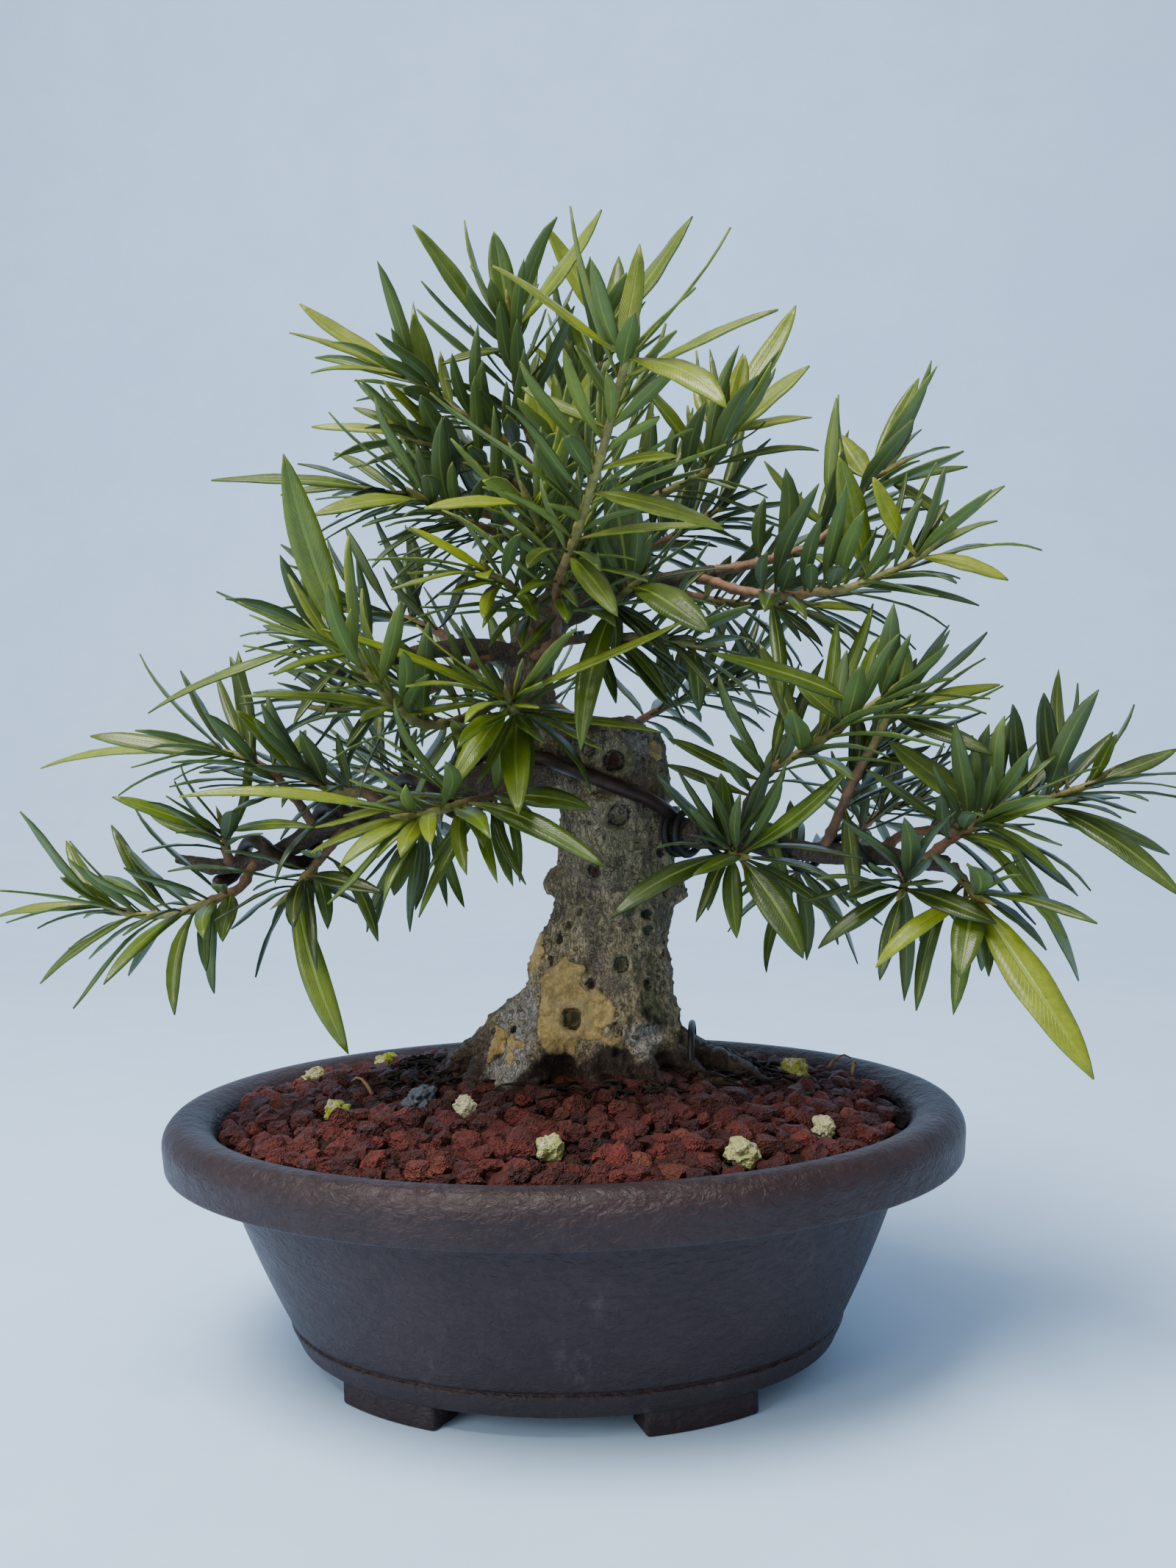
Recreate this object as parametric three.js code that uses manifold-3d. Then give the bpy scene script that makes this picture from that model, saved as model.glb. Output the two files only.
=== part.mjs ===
// A willow leaf fig grown as a small tree, planted in an oval plastic training pot.
// Millimetres, +Z up. The pot's feet stand at z = 0 with the pot's middle on the Z axis.
// X runs along the pot's long side, and -Y is the front of the tree.
import * as THREE from "three";
import { mergeVertices } from "three/addons/utils/BufferGeometryUtils.js";
import Module from "manifold-3d";

const wasm = await Module();
wasm.setup();

// The pot: an oval bowl with a rolled rim on four feet.
const POT_HALF_LENGTH = 82.5;
const POT_HEIGHT = 52;
const RIM_BAND_HEIGHT = 9.5;
const RIM_LIP = 10;
const FOOT_HEIGHT = 4.8;
const FLOOR_THICKNESS = 2.6;
const WALL_THICKNESS = 2;
const BASE_HALF_LENGTH = 56.5;
const BASE_BAND_HEIGHT = 4.4;
const WALL_TOP_HALF_LENGTH = 70.6;
const SKIRT_THICKNESS = 2.6;
const FOOT_INSET = 2;
const FOOT_WIDTH = 9;
const FOOT_ANGLES = [43, 69];
const DRAIN_RADIUS = 6;
const DRAIN_PLACES = [-26, 26];
const POT_SEGMENTS = 36;
const FOOT_SEGMENTS = 4;
const DRAIN_SIDES = 12;
// The oval is a little rounder at the rim than at the floor: its short side over its long side.
const FLOOR_RATIO = 0.7;
const RIM_RATIO = 0.77;

// The soil: lava grains heaped towards the trunk, with a few pumice grains lying in them.
const FIT_GAP = 0.3;
const SOIL_EDGE_DROP = 3.5;
const SOIL_TOP = 57.5;
const SOIL_RINGS = [66, 59, 52, 45, 38, 31, 23];
const GRAIN_RELIEF = 1.3;
const SOIL_SEED = 71;
// A loose grain is a little flat, and its middle stands this share of its radius over the soil.
const GRAIN_FLATNESS = 0.85;
const GRAIN_STAND = 0.35;
const GRAIN_GAP = FIT_GAP + 0.1;
// Each loose grain is [x, y, radius], and it lies in a socket in the soil.
const LOOSE_GRAINS = {
  pumice_left_edge: [-58, 17, 2.6],
  pumice_left_back: [-45, 30, 2.8],
  pumice_left: [-42, -19, 2.5],
  stone_grey: [-25, -18, 2.8],
  pumice_white: [-15, -24, 2.4],
  pumice_front: [4, -41, 2.6],
  pumice_large: [49, 12, 3.6],
  pumice_right_front: [38, -38, 2.6],
  pumice_right: [53, -23, 2.6],
};

// The wood. Each limb is a list of [x, y, z, radius]; "sides" sets how round it is.
const LIMBS = {
  trunk: {
    sides: 14,
    path: [
      [9, 5, 46, 17],
      [9, 5, 58, 17],
      [9, 5, 66, 16.5],
      [9, 5, 74, 15.5],
      [10, 5, 82, 14],
      [12, 4, 90, 12.2],
      [13, 4, 98, 12.2],
      [13, 4, 108, 11.8],
      [13, 4, 116, 12],
      [12, 5, 123, 12],
      [12, 5, 128, 10.6],
      [12, 5, 131, 6.5],
    ],
  },
  upper_trunk: {
    sides: 10,
    path: [
      [2, 5, 120, 6],
      [-2, 5, 128, 5.6],
      [-4, 5, 136, 5],
      [-5, 5, 143, 4.8],
      [-2, 5, 150, 4.6],
      [4, 5, 157, 4.5],
      [5, 6, 164, 4],
      [4, 6, 172, 3.2],
      [2, 6, 182, 2.2],
    ],
  },
  left_low: {
    sides: 8,
    path: [
      [6, 4, 120, 4.2],
      [-7, 0, 120, 3.6],
      [-17, -4, 118, 3.2],
      [-31, -8, 114, 2.8],
      [-45, -12, 110, 2.4],
      [-55, -14, 105, 2.1],
      [-64, -16, 103, 1.8],
      [-74, -18, 105, 1.4],
    ],
  },
  right_low: {
    sides: 8,
    path: [
      [16, 4, 108, 4],
      [27, -2, 107, 3.2],
      [34, -6, 106, 2.7],
      [42, -9, 105, 2.5],
      [53, -12, 103, 2.3],
      [66, -13, 102, 2],
      [79, -14, 100, 1.7],
    ],
  },
  left_mid: {
    sides: 6,
    path: [
      [-3, 4, 144, 2.6],
      [-12, -2, 146, 2.2],
      [-20, -7, 146, 1.9],
      [-29, -12, 144, 1.5],
    ],
  },
  right_mid: {
    sides: 6,
    path: [
      [3, 5, 153, 2.8],
      [14, 4, 157, 2.4],
      [25, 1, 159, 2],
      [36, -2, 160, 1.6],
    ],
  },
  back_low: {
    sides: 6,
    path: [
      [12, 8, 120, 3.6],
      [9, 22, 128, 2.8],
      [4, 34, 131, 2.2],
      [-2, 44, 133, 1.6],
    ],
  },
  back_high: {
    sides: 6,
    path: [
      [4, 6, 160, 2.4],
      [8, 16, 166, 2],
      [12, 26, 171, 1.6],
    ],
  },
  left_root: {
    sides: 8,
    path: [
      [6, 5, 70, 11],
      [-5, 3, 65, 9],
      [-14, 1, 60, 7],
      [-25, -2, 53, 5],
    ],
  },
  front_root: {
    sides: 8,
    path: [
      [5, 0, 68, 9],
      [-3, -8, 62, 6.5],
      [-8, -15, 55, 4.5],
    ],
  },
  right_root: {
    sides: 8,
    path: [
      [14, 5, 66, 9],
      [24, 5, 61, 5],
      [36, 3, 57, 3.6],
      [46, 2, 51, 3],
    ],
  },
};

// The stubs where old branches were cut: [x, y, z, radius], on the trunk's bark.
const KNOBS = [
  [11, -6, 113, 3.4],
  [1, 1, 97, 3],
  [25, 3, 95, 3],
  [14, -6, 127, 2.8],
];

// The leafy shoots. "from" is the limb that bears the shoot, "stem" is its route, and each leaf is
// [how far along the stem it sits, the tip's x, y and z, its width].
const SHOOTS = {
  leader: {
    from: "upper_trunk",
    stem: [[2, 6, 182], [-2, 3, 190], [-4, 0, 198], [-4, -4, 206], [-4, -8, 212]],
    leaves: [
      [0.8, -21, -18, 228, 5.5],
      [1, -6, -12, 228, 4.9],
      [0.9, 16, -16, 229, 5.6],
      [0.6, 4, -12, 212, 4.4],
      [0.8, -18, -10, 203, 3.2],
    ],
  },
  crown_back: {
    from: "upper_trunk",
    stem: [[2, 6, 177], [5, 13, 186], [8, 17, 198], [11, 18, 208], [13, 16, 217]],
    leaves: [
      [1, 1, 14, 239, 4.8],
      [1, 33, 10, 237, 5.8],
      [0.7, 5, 12, 222, 3],
      [0.6, -3, 12, 213, 3.2],
    ],
  },
  crown_left: {
    from: "upper_trunk",
    stem: [[3, 6, 178], [-6, -4, 188], [-16, -9, 194], [-21, -12, 198], [-24, -14, 200]],
    leaves: [
      [1, -45, -16, 215, 4],
      [1, -45, -20, 207, 2.8],
      [0.9, -46, -4, 208, 3],
      [1, -40, -26, 198, 2.4],
      [0.8, -21, -20, 210, 3.9],
    ],
  },
  crown_left_low: {
    from: "upper_trunk",
    stem: [[4, 6, 173], [-6, -4, 180], [-12, -10, 183], [-19, -14, 186], [-23, -16, 187]],
    leaves: [
      [1, -44, -14, 191, 2.4],
      [0.9, -37, -8, 196, 2.4],
      [0.7, -27, -22, 197, 3.6],
    ],
  },
  left_back_high: {
    from: "upper_trunk",
    stem: [[4, 6, 168], [-6, 4, 173], [-17, -1, 176], [-26, -5, 178], [-31, -9, 178]],
    leaves: [
      [1, -63, -20, 180, 3.8],
      [1, -53, -8, 179, 2.4],
      [0.9, -45, 4, 190, 2.4],
      [0.8, -25, -14, 190, 3.8],
      [0.6, -13, -22, 187, 4.6],
      [0.85, -30, -18, 182, 3],
    ],
  },
  upper_left: {
    from: "upper_trunk",
    stem: [[5, 6, 162], [-6, -10, 168], [-11, -18, 169], [-16, -24, 171], [-18, -28, 172]],
    leaves: [
      [1, -36, -40, 168, 4.5],
      [0.65, -28, -26, 165, 2.4],
    ],
  },
  crown_front: {
    from: "upper_trunk",
    stem: [[4, 6, 170], [5, -8, 176], [5, -14, 180], [6, -18, 184]],
    leaves: [
      [1, 2, -22, 195, 5.6],
      [0.9, 15, -24, 197, 4.2],
      [0.7, -23, -28, 191, 5],
    ],
  },
  crown_right: {
    from: "upper_trunk",
    stem: [[5, 6, 167], [17, 10, 175], [27, 7, 179], [35, 4, 182], [38, 3, 190]],
    leaves: [
      [0.9, 56, 0, 201, 5.2],
      [1, 54, 8, 216, 5],
      [1, 57, 5, 194, 3.4],
      [0.8, 58, 10, 186, 2.4],
      [0.8, 21, -8, 199, 4.7],
      [1, 33, 9, 203, 6.5],
      [1, 43, 0, 204, 4],
    ],
  },
  right_back_high: {
    from: "upper_trunk",
    stem: [[5, 6, 161], [16, 12, 165], [27, 17, 171], [37, 20, 177]],
    leaves: [],
  },
  front_shoot: {
    from: "upper_trunk",
    stem: [
      [-4, 5, 143],
      [3, -8, 146],
      [5, -18, 150],
      [7, -30, 155],
      [11, -40, 160],
      [15, -50, 166],
      [18, -57, 171],
      [20, -61, 175],
      [24, -68, 185],
    ],
    leaves: [
      [0.63, -6, -74, 179, 4.2],
      [1, 5, -78, 196, 2.6],
      [0.95, 47, -74, 188, 2.4],
      [1, 35, -80, 190, 2.8],
      [1, 39, -82, 172, 4.7],
      [0.75, 31, -62, 170, 2.4],
      [0.9, 16, -70, 186, 3.8],
      [0.85, 6, -60, 183, 2.4],
      [0.5, 20, -54, 146, 4.3],
      [0.4, 2, -46, 151, 2.4],
      [0.7, 38, -56, 159, 4.6],
      [0.55, 38, -44, 162, 2.4],
    ],
  },
  front_twig: {
    from: "upper_trunk",
    stem: [[-3, 5, 149], [-1, -14, 153], [-3, -26, 156], [-5, -32, 157]],
    leaves: [
      [1, -18, -40, 165, 2.6],
      [0.8, -11, -40, 153, 2.6],
      [0.5, -4, -30, 166, 2.6],
    ],
  },
  front_bud: {
    from: "upper_trunk",
    stem: [[4, 5, 158], [5, -20, 162], [4, -30, 166], [3, -35, 169]],
    leaves: [[1, -14, -46, 167, 3.3]],
  },
  right_inner: {
    from: "right_mid",
    stem: [[12, 4, 156], [15, -12, 153], [20, -22, 155]],
    leaves: [
      [1, 17, -26, 176, 5.8],
      [1, 35, -40, 144, 6.5],
      [0.7, 11, -36, 124, 5],
    ],
  },
  right_long_up: {
    from: "right_mid",
    stem: [[36, -2, 160], [45, -5, 161], [54, -8, 163], [61, -9, 168], [66, -9, 175], [70, -9, 177]],
    leaves: [
      [0.6, 46, -10, 180, 3.2],
      [0.9, 77, -4, 196, 3.6],
      [0.9, 61, 0, 187, 5.8],
      [0.95, 82, -14, 164, 2.8],
      [0.85, 86, -4, 178, 2.2],
      [0.5, 68, 0, 167, 2.2],
    ],
  },
  right_long_low: {
    from: "right_mid",
    stem: [
      [31, 0, 160],
      [41, -8, 155],
      [49, -13, 153],
      [55, -17, 153],
      [60, -20, 153],
      [67, -22, 155],
      [74, -24, 158],
    ],
    leaves: [
      [0.77, 59, -28, 176, 5.7],
      [1, 65, -28, 172, 4.1],
      [0.97, 89, -24, 170, 2.2],
      [1, 88, -30, 152, 3.8],
      [0.7, 85, -18, 149, 2.4],
      [1, 88, -20, 155, 2.2],
      [0.5, 73, -6, 162, 2.4],
    ],
  },
  right_mid_tuft: {
    from: "right_mid",
    stem: [[24, 1, 159], [31, 6, 156], [42, 8, 154], [52, 6, 153]],
    leaves: [
      [1, 66, 2, 145, 2.4],
      [1, 68, 9, 152, 2.2],
      [0.85, 57, 0, 144, 2.6],
    ],
  },
  right_mid_low: {
    from: "upper_trunk",
    stem: [[-4, 5, 146], [6, -4, 147], [14, -8, 147], [23, -12, 146], [32, -14, 144]],
    leaves: [
      [0.5, 26, -18, 134, 2.4],
      [1, 32, -15, 131, 3.5],
    ],
  },
  centre_front: {
    from: "upper_trunk",
    stem: [[-4, 5, 136], [-4, -12, 132], [-3, -24, 132], [-3, -30, 134]],
    leaves: [
      [0.9, 1, -36, 141, 3],
      [0.8, -10, -44, 125, 3.6],
      [0.9, -12, -40, 118, 4.4],
      [0.5, 0, -40, 113, 5.4],
      [0.4, 25, -22, 127, 2.6],
      [1, 30, -40, 146, 2.2],
      [0.9, -34, -44, 147, 2.2],
    ],
  },
  left_front_shoot: {
    from: "upper_trunk",
    stem: [
      [-5, 5, 140],
      [-13, -14, 132],
      [-20, -26, 130],
      [-24, -34, 134],
      [-26, -40, 138],
      [-29, -44, 143],
    ],
    leaves: [
      [1, -35, -58, 175, 6],
      [0.5, -46, -52, 135, 3.8],
      [1, -38, -58, 138, 2.4],
    ],
  },
  left_mid_shoot: {
    from: "left_mid",
    stem: [[-29, -12, 144], [-34, -16, 145], [-39, -19, 146], [-42, -21, 148]],
    leaves: [
      [1, -44, -22, 159, 2.6],
      [0.85, -47, -14, 161, 5.2],
      [0.95, -75, -26, 134, 2.8],
      [0.9, -57, -10, 152, 2.4],
    ],
  },
  left_mid_tuft: {
    from: "left_mid",
    stem: [[-16, -5, 146], [-24, 2, 151], [-34, 6, 155], [-42, 7, 156]],
    leaves: [],
  },
  left_mid_low: {
    from: "left_mid",
    stem: [[-10, -1, 146], [-19, -10, 139], [-32, -14, 135], [-42, -16, 134]],
    leaves: [],
  },
  low_front: {
    from: "left_low",
    stem: [[-7, 0, 120], [-8, -14, 116], [-12, -26, 115], [-15, -34, 114], [-19, -42, 113]],
    leaves: [
      [1, -57, -54, 118, 2.4],
      [0.6, 15, -38, 103, 4],
      [1, -30, -50, 105, 3.4],
      [1, -38, -42, 107, 2.2],
      [0.6, -13, -54, 117, 3.2],
      [0.5, 6, -26, 106, 3.6],
      [0.3, 5, -18, 105, 2.6],
      [0.35, 11, -22, 113, 4.8],
    ],
  },
  left_centre: {
    from: "left_low",
    stem: [[-31, -8, 114], [-36, -14, 117], [-41, -18, 118], [-45, -21, 120]],
    leaves: [[0.9, -57, -27, 134, 4.2]],
  },
  left_up: {
    from: "left_low",
    stem: [[-46, -12, 109], [-49, -16, 116], [-52, -20, 121], [-57, -22, 125], [-62, -22, 126]],
    leaves: [
      [1, -102, -18, 124, 2.4],
      [1, -70, -12, 127, 3],
      [0.9, -87, -26, 130, 3.8],
      [0.5, -46, -30, 130, 3.6],
    ],
  },
  left_end: {
    from: "left_low",
    stem: [[-63, -16, 102], [-63, -19, 107], [-62, -22, 111]],
    leaves: [
      [1, -80, -32, 118, 3.4],
      [0.6, -78, -20, 114, 3.8],
      [0.9, -41, -30, 111, 2.6],
    ],
  },
  left_long: {
    from: "left_low",
    stem: [[-58, -15, 104], [-60, -20, 99], [-64, -24, 97], [-70, -27, 95], [-77, -29, 95], [-83, -30, 97]],
    leaves: [
      [1, -106, -30, 95, 2.4],
      [0.9, -90, -34, 103, 2.6],
      [0.8, -97, -30, 82, 2.8],
      [0.45, -74, -50, 85, 2.8],
      [0.3, -66, -20, 78, 2.4],
      [0.2, -59, -32, 90, 4.2],
    ],
  },
  left_under: {
    from: "left_low",
    stem: [[-40, -11, 111], [-44, -15, 105], [-47, -18, 101], [-49, -20, 98]],
    leaves: [
      [1, -37, -26, 67, 5.2],
      [0.7, -29, -26, 98, 3.8],
      [0.8, -39, -8, 94, 2.6],
    ],
  },
  left_hang: {
    from: "left_low",
    stem: [[-20, -5, 117], [-25, 3, 111], [-31, 7, 108]],
    leaves: [
      [1, -34, 0, 95, 5],
      [1, -43, 10, 86, 2.4],
      [0.8, -33, 6, 86, 2.4],
      [0.5, -21, 10, 91, 2.4],
    ],
  },
  left_back: {
    from: "left_low",
    stem: [[-25, -6, 116], [-30, 6, 119], [-40, 16, 121], [-48, 24, 122]],
    leaves: [],
  },
  right_node: {
    from: "right_low",
    stem: [[37, -7, 106], [37, -14, 104], [39, -20, 103]],
    leaves: [
      [1, 50, -30, 85, 6.3],
      [1, 59, -28, 119, 4.1],
      [0.5, 15, -30, 93, 4.6],
      [0.6, 38, -24, 88, 3.8],
      [0.3, 24, -24, 119, 3.4],
      [0.4, 36, -22, 119, 4.4],
      [1, 60, -14, 88, 2.6],
    ],
  },
  right_up_shoot: {
    from: "right_low",
    stem: [
      [40, -8, 105],
      [41, -14, 113],
      [45, -18, 119],
      [50, -21, 122],
      [57, -24, 126],
      [61, -26, 129],
      [66, -27, 132],
    ],
    leaves: [
      [0.55, 49, -34, 130, 5.6],
      [0.9, 35, -32, 141, 4.8],
      [0.55, 44, -14, 144, 3.6],
      [0.8, 50, -26, 137, 2.8],
      [0.8, 59, -13, 140, 3.4],
      [0.3, 26, -20, 126, 3],
      [0.2, 25, -12, 121, 2.6],
      [0.2, 49, -20, 90, 2.6],
    ],
  },
  right_mid_shoot: {
    from: "right_low",
    stem: [[55, -12, 103], [58, -16, 110], [61, -18, 117], [65, -20, 124], [68, -21, 130]],
    leaves: [
      [0.9, 71, -22, 142, 4.2],
      [1, 88, -20, 134, 2.8],
      [1, 84, -32, 121, 4],
      [0.55, 76, -14, 123, 2.4],
      [0.3, 60, -26, 94, 3.2],
    ],
  },
  right_under: {
    from: "right_low",
    stem: [[69, -13, 101], [70, -18, 98], [69, -22, 96]],
    leaves: [
      [1, 53, -28, 86, 3.2],
      [0.9, 59, -18, 88, 2.8],
      [1, 64, -26, 80, 3.2],
      [1, 84, -32, 91, 4.8],
    ],
  },
  right_end_low: {
    from: "right_low",
    stem: [[79, -14, 100], [81, -19, 97], [82, -24, 95]],
    leaves: [
      [0.3, 49, -30, 95, 3.2],
      [1, 63, -38, 83, 3.4],
      [0.9, 77, -38, 82, 5.6],
      [0.8, 84, -16, 80, 2.8],
      [1, 97, -44, 66, 7.6],
    ],
  },
  right_end_mid: {
    from: "right_low",
    stem: [[74, -14, 101], [78, -19, 105], [82, -23, 108], [86, -26, 112]],
    leaves: [
      [0.6, 98, -24, 87, 2.6],
      [0.7, 96, -28, 99, 2.4],
      [0.9, 103, -14, 77, 3.4],
      [0.6, 95, -36, 113, 3.6],
      [0.4, 88, -34, 103, 3.2],
      [0.8, 67, -18, 124, 5.7],
      [0.5, 62, -32, 119, 2.6],
    ],
  },
  right_tip: {
    from: "right_low",
    stem: [[64, -13, 102], [72, -8, 106], [82, -9, 107], [91, -14, 110], [99, -18, 113], [104, -20, 115]],
    leaves: [
      [1, 120, -18, 121, 3.4],
      [0.75, 120, -12, 101, 3.4],
      [0.75, 116, -32, 95, 4.6],
      [0.5, 104, -8, 93, 2.6],
      [0.6, 107, -6, 129, 2.6],
      [0.9, 101, -10, 137, 2.8],
      [0.7, 89, -26, 130, 4.2],
      [0.85, 95, -24, 132, 4.2],
      [1, 107, -26, 124, 2.6],
    ],
  },
  right_hang: {
    from: "right_low",
    stem: [[47, -10, 104], [49, -3, 101], [52, 3, 98]],
    leaves: [
      [1, 64, 20, 76, 2.6],
      [1, 36, 16, 84, 2.4],
      [0.8, 44, 10, 76, 2.6],
    ],
  },
  right_back: {
    from: "right_low",
    stem: [[60, -12, 103], [64, 0, 107], [70, 10, 110], [78, 16, 112]],
    leaves: [],
  },
  back_low_end: {
    from: "back_low",
    stem: [[-2, 44, 133], [-5, 50, 136], [-8, 57, 142]],
    leaves: [],
  },
  back_low_left: {
    from: "back_low",
    stem: [[6, 29, 130], [-4, 33, 136], [-16, 36, 141], [-26, 38, 144]],
    leaves: [],
  },
  back_low_right: {
    from: "back_low",
    stem: [[10, 16, 125], [19, 28, 132], [30, 35, 137], [40, 38, 140]],
    leaves: [],
  },
  back_high_end: {
    from: "back_high",
    stem: [[12, 26, 171], [15, 33, 176], [17, 39, 182]],
    leaves: [],
  },
  back_high_left: {
    from: "back_high",
    stem: [[9, 19, 168], [0, 25, 175], [-10, 29, 181], [-18, 31, 185]],
    leaves: [],
  },
};

// How the shoots grow. A stem tapers from its base to its tip, and besides the leaves listed above
// it bears small leaves in a spiral, one more for each stretch of stem.
const SHOOT_GAP = FIT_GAP + 0.05;
const SHOOT_BASE_RADIUS = 1.15;
const SHOOT_TIP_RADIUS = 0.75;
const STEM_SIDES = 5;
const FEWEST_SMALL_LEAVES = 3;
const STEM_PER_SMALL_LEAF = 20;
const SMALL_LEAF_LENGTHS = [15, 25];
const SMALL_LEAF_WIDTHS = [2.8, 4.2];
const SPIRAL_TURN = THREE.MathUtils.degToRad(137.5);
const LOWEST_LEAF = 62;
// The first small leaf stands at this share of the stem, and the next ones after it.
const FIRST_SMALL_LEAF = 0.2;
const SMALL_LEAF_STAGGER = 0.7;
// Nothing is rooted closer than this to the stem's tip.
const TIP_INSET = 0.8;
// A small leaf leans along the stem by this much, by this much more at its tip, and at random.
const LEAN = { least: 0.35, towardsTip: 0.9, random: 0.3 };
const SPIRAL_RANDOM = 0.8;
const SMALL_LEAF_LIFT = 0.25;
const SMALL_LEAF_TILT = -0.3;
const SPIRAL_AXIS = [0.3, 1, 0.2];
const LEAF_SEED = 1000;
const LEAF_SEED_STEP = 7919;

// A leaf is a pointed blade with a keel. A level leaf arches over, and a steep one sweeps up.
// Each station is [how far from root to tip, share of the full width].
const LEAF_STATIONS = [[0, 0], [0.36, 1], [0.7, 0.7]];
const SMALL_LEAF_STATIONS = [[0, 0], [0.42, 1]];
// The width, as a share of the full one, that each stretch of a leaf is kept clear by.
const LEAF_BAR_WIDTHS = [0.8, 1, 0.7];
const LEAF_ROOT_WIDTH = 1.1;
const LEAF_THICKNESS = 0.9;
const LEAF_FOLD = 0.2;
const LEAF_ARCH = 0.06;
const LEAF_SWEEP = 0.12;
const NARROWEST_LEAF = 2.4;
// A leaf looks towards the front and up, and a small one outwards and up.
const LISTED_LEAF_FACING = [0, -0.6, 0.6];
// What is tried, in order, to keep a leaf clear of what stands already.
const LEAF_CLEARANCE = 0.5;
const DEPTH_SHIFTS = [0, 3, -3, 6, -6, 9, -9, 12, -12];
const TURNS = [0, 0.5, -0.5, 1, -1, 1.6, -1.6];

// The wires: a thick one from the lower left limb across the trunk, a thin one round the lower
// right limb, and a tie over the right root. Each coil is
// [limb, where it starts and ends along the limb, degrees at the start, turns].
const STEPS_PER_TURN = 8;
const WIRE_SIDES = 6;
const BRANCH_WIRE_RADIUS = 1.5;
const BRANCH_WIRE = [
  ["trunk", 60, 67, 385, -0.3],
  ["trunk", 68, 78, 270, -0.4],
  ["left_low", 18, 77, 250, 3.5],
];
const COIL_WIRE_RADIUS = 0.8;
const COIL_WIRE = [
  ["right_low", 11, 16, 80, 2],
  ["right_low", 18, 56, 120, 2.5],
];
const TIE_WIRE_RADIUS = 0.7;
const TIE_WIRE = [
  [28, -4, 52],
  [28, -4, 59],
  [28, -2, 64],
  [28, 2, 66],
  [28, 7, 66],
  [28, 11, 64],
  [28, 13, 59],
  [28, 13, 52],
];

const UP = new THREE.Vector3(0, 0, 1);
const vec = (p) => new THREE.Vector3(p[0], p[1], p[2]);

// A seeded draw from 0 to 1, the same on every run.
function drawer(seed) {
  let state = seed >>> 0;
  return () => {
    state = (Math.imul(state, 1664525) + 1013904223) >>> 0;
    return state / 4294967296;
  };
}

const between = (range, share) => range[0] + (range[1] - range[0]) * share;

// A closed geometry as a solid that can be joined and cut.
function solidOf(geometry) {
  const bare = geometry.clone();
  bare.deleteAttribute("normal");
  bare.deleteAttribute("uv");
  const merged = mergeVertices(bare, 1e-4);
  const index = merged.index.array;
  const kept = [];
  for (let i = 0; i < index.length; i += 3) {
    const [a, b, c] = [index[i], index[i + 1], index[i + 2]];
    if (a !== b && b !== c && c !== a) kept.push(a, b, c);
  }
  const mesh = new wasm.Mesh({
    numProp: 3,
    vertProperties: merged.attributes.position.array,
    triVerts: new Uint32Array(kept),
  });
  return new wasm.Manifold(mesh);
}

function geometryOf(solid) {
  const mesh = solid.getMesh();
  const geometry = new THREE.BufferGeometry();
  geometry.setAttribute("position", new THREE.BufferAttribute(mesh.vertProperties, 3));
  geometry.setIndex(new THREE.BufferAttribute(mesh.triVerts, 1));
  geometry.computeVertexNormals();
  return geometry;
}

// Joined solids lose the slivers that joining leaves, and no point moves further than this.
const JOIN_TOLERANCE = 0.055;
const join = (solids) => wasm.Manifold.union(solids).asOriginal().simplify(JOIN_TOLERANCE);

// Skins a stack of rings that run anticlockwise about the way they go. A ring of one point is a tip.
function skin(rings) {
  const index = [];
  let first = 0;
  for (let i = 1; i < rings.length; i += 1) {
    const below = rings[i - 1].length;
    const above = rings[i].length;
    const next = first + below;
    for (let k = 0; k < Math.max(below, above); k += 1) {
      const a = first + (k % below);
      const b = first + ((k + 1) % below);
      const c = next + (k % above);
      const d = next + ((k + 1) % above);
      if (below > 1) index.push(a, b, d);
      if (above > 1) index.push(a, d, c);
    }
    first = next;
  }
  const last = rings[rings.length - 1].length;
  for (let k = 1; k + 1 < rings[0].length; k += 1) index.push(0, k + 1, k);
  for (let k = 1; k + 1 < last; k += 1) index.push(first, first + k, first + k + 1);
  const geometry = new THREE.BufferGeometry().setFromPoints(rings.flat());
  geometry.setIndex(index);
  return geometry;
}

// The direction of a route at each of its points, and two axes across it that don't twist.
function framesAlong(route) {
  const points = route.map(vec);
  const frames = [];
  let side = null;
  points.forEach((point, i) => {
    const from = points[Math.max(i - 1, 0)];
    const to = points[Math.min(i + 1, points.length - 1)];
    const along = to.clone().sub(from).normalize();
    if (!side) side = Math.abs(along.y) < 0.8 ? new THREE.Vector3(0, 1, 0) : new THREE.Vector3(1, 0, 0);
    side = side.clone().addScaledVector(along, -side.dot(along)).normalize();
    frames.push({ point, along, side, up: new THREE.Vector3().crossVectors(along, side) });
  });
  return frames;
}

// A tapering tube along a route of [x, y, z, radius], widened and lengthened all round by "grow".
function tube(route, sides, grow = 0) {
  const last = route.length - 1;
  const rings = framesAlong(route).map(({ point, along, side, up }, i) => {
    const radius = route[i][3] + grow;
    if (i === 0) point.addScaledVector(along, -grow);
    if (i === last) point.addScaledVector(along, grow);
    return Array.from({ length: sides }, (_, k) => {
      const angle = (k / sides) * 2 * Math.PI;
      return point
        .clone()
        .addScaledVector(side, radius * Math.cos(angle))
        .addScaledVector(up, radius * Math.sin(angle));
    });
  });
  return solidOf(skin(rings));
}

// The points of a route, with the distance from its start to each.
function distancesAlong(route) {
  const distances = [0];
  for (let i = 1; i < route.length; i += 1) {
    distances.push(distances[i - 1] + vec(route[i]).distanceTo(vec(route[i - 1])));
  }
  return distances;
}

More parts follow.
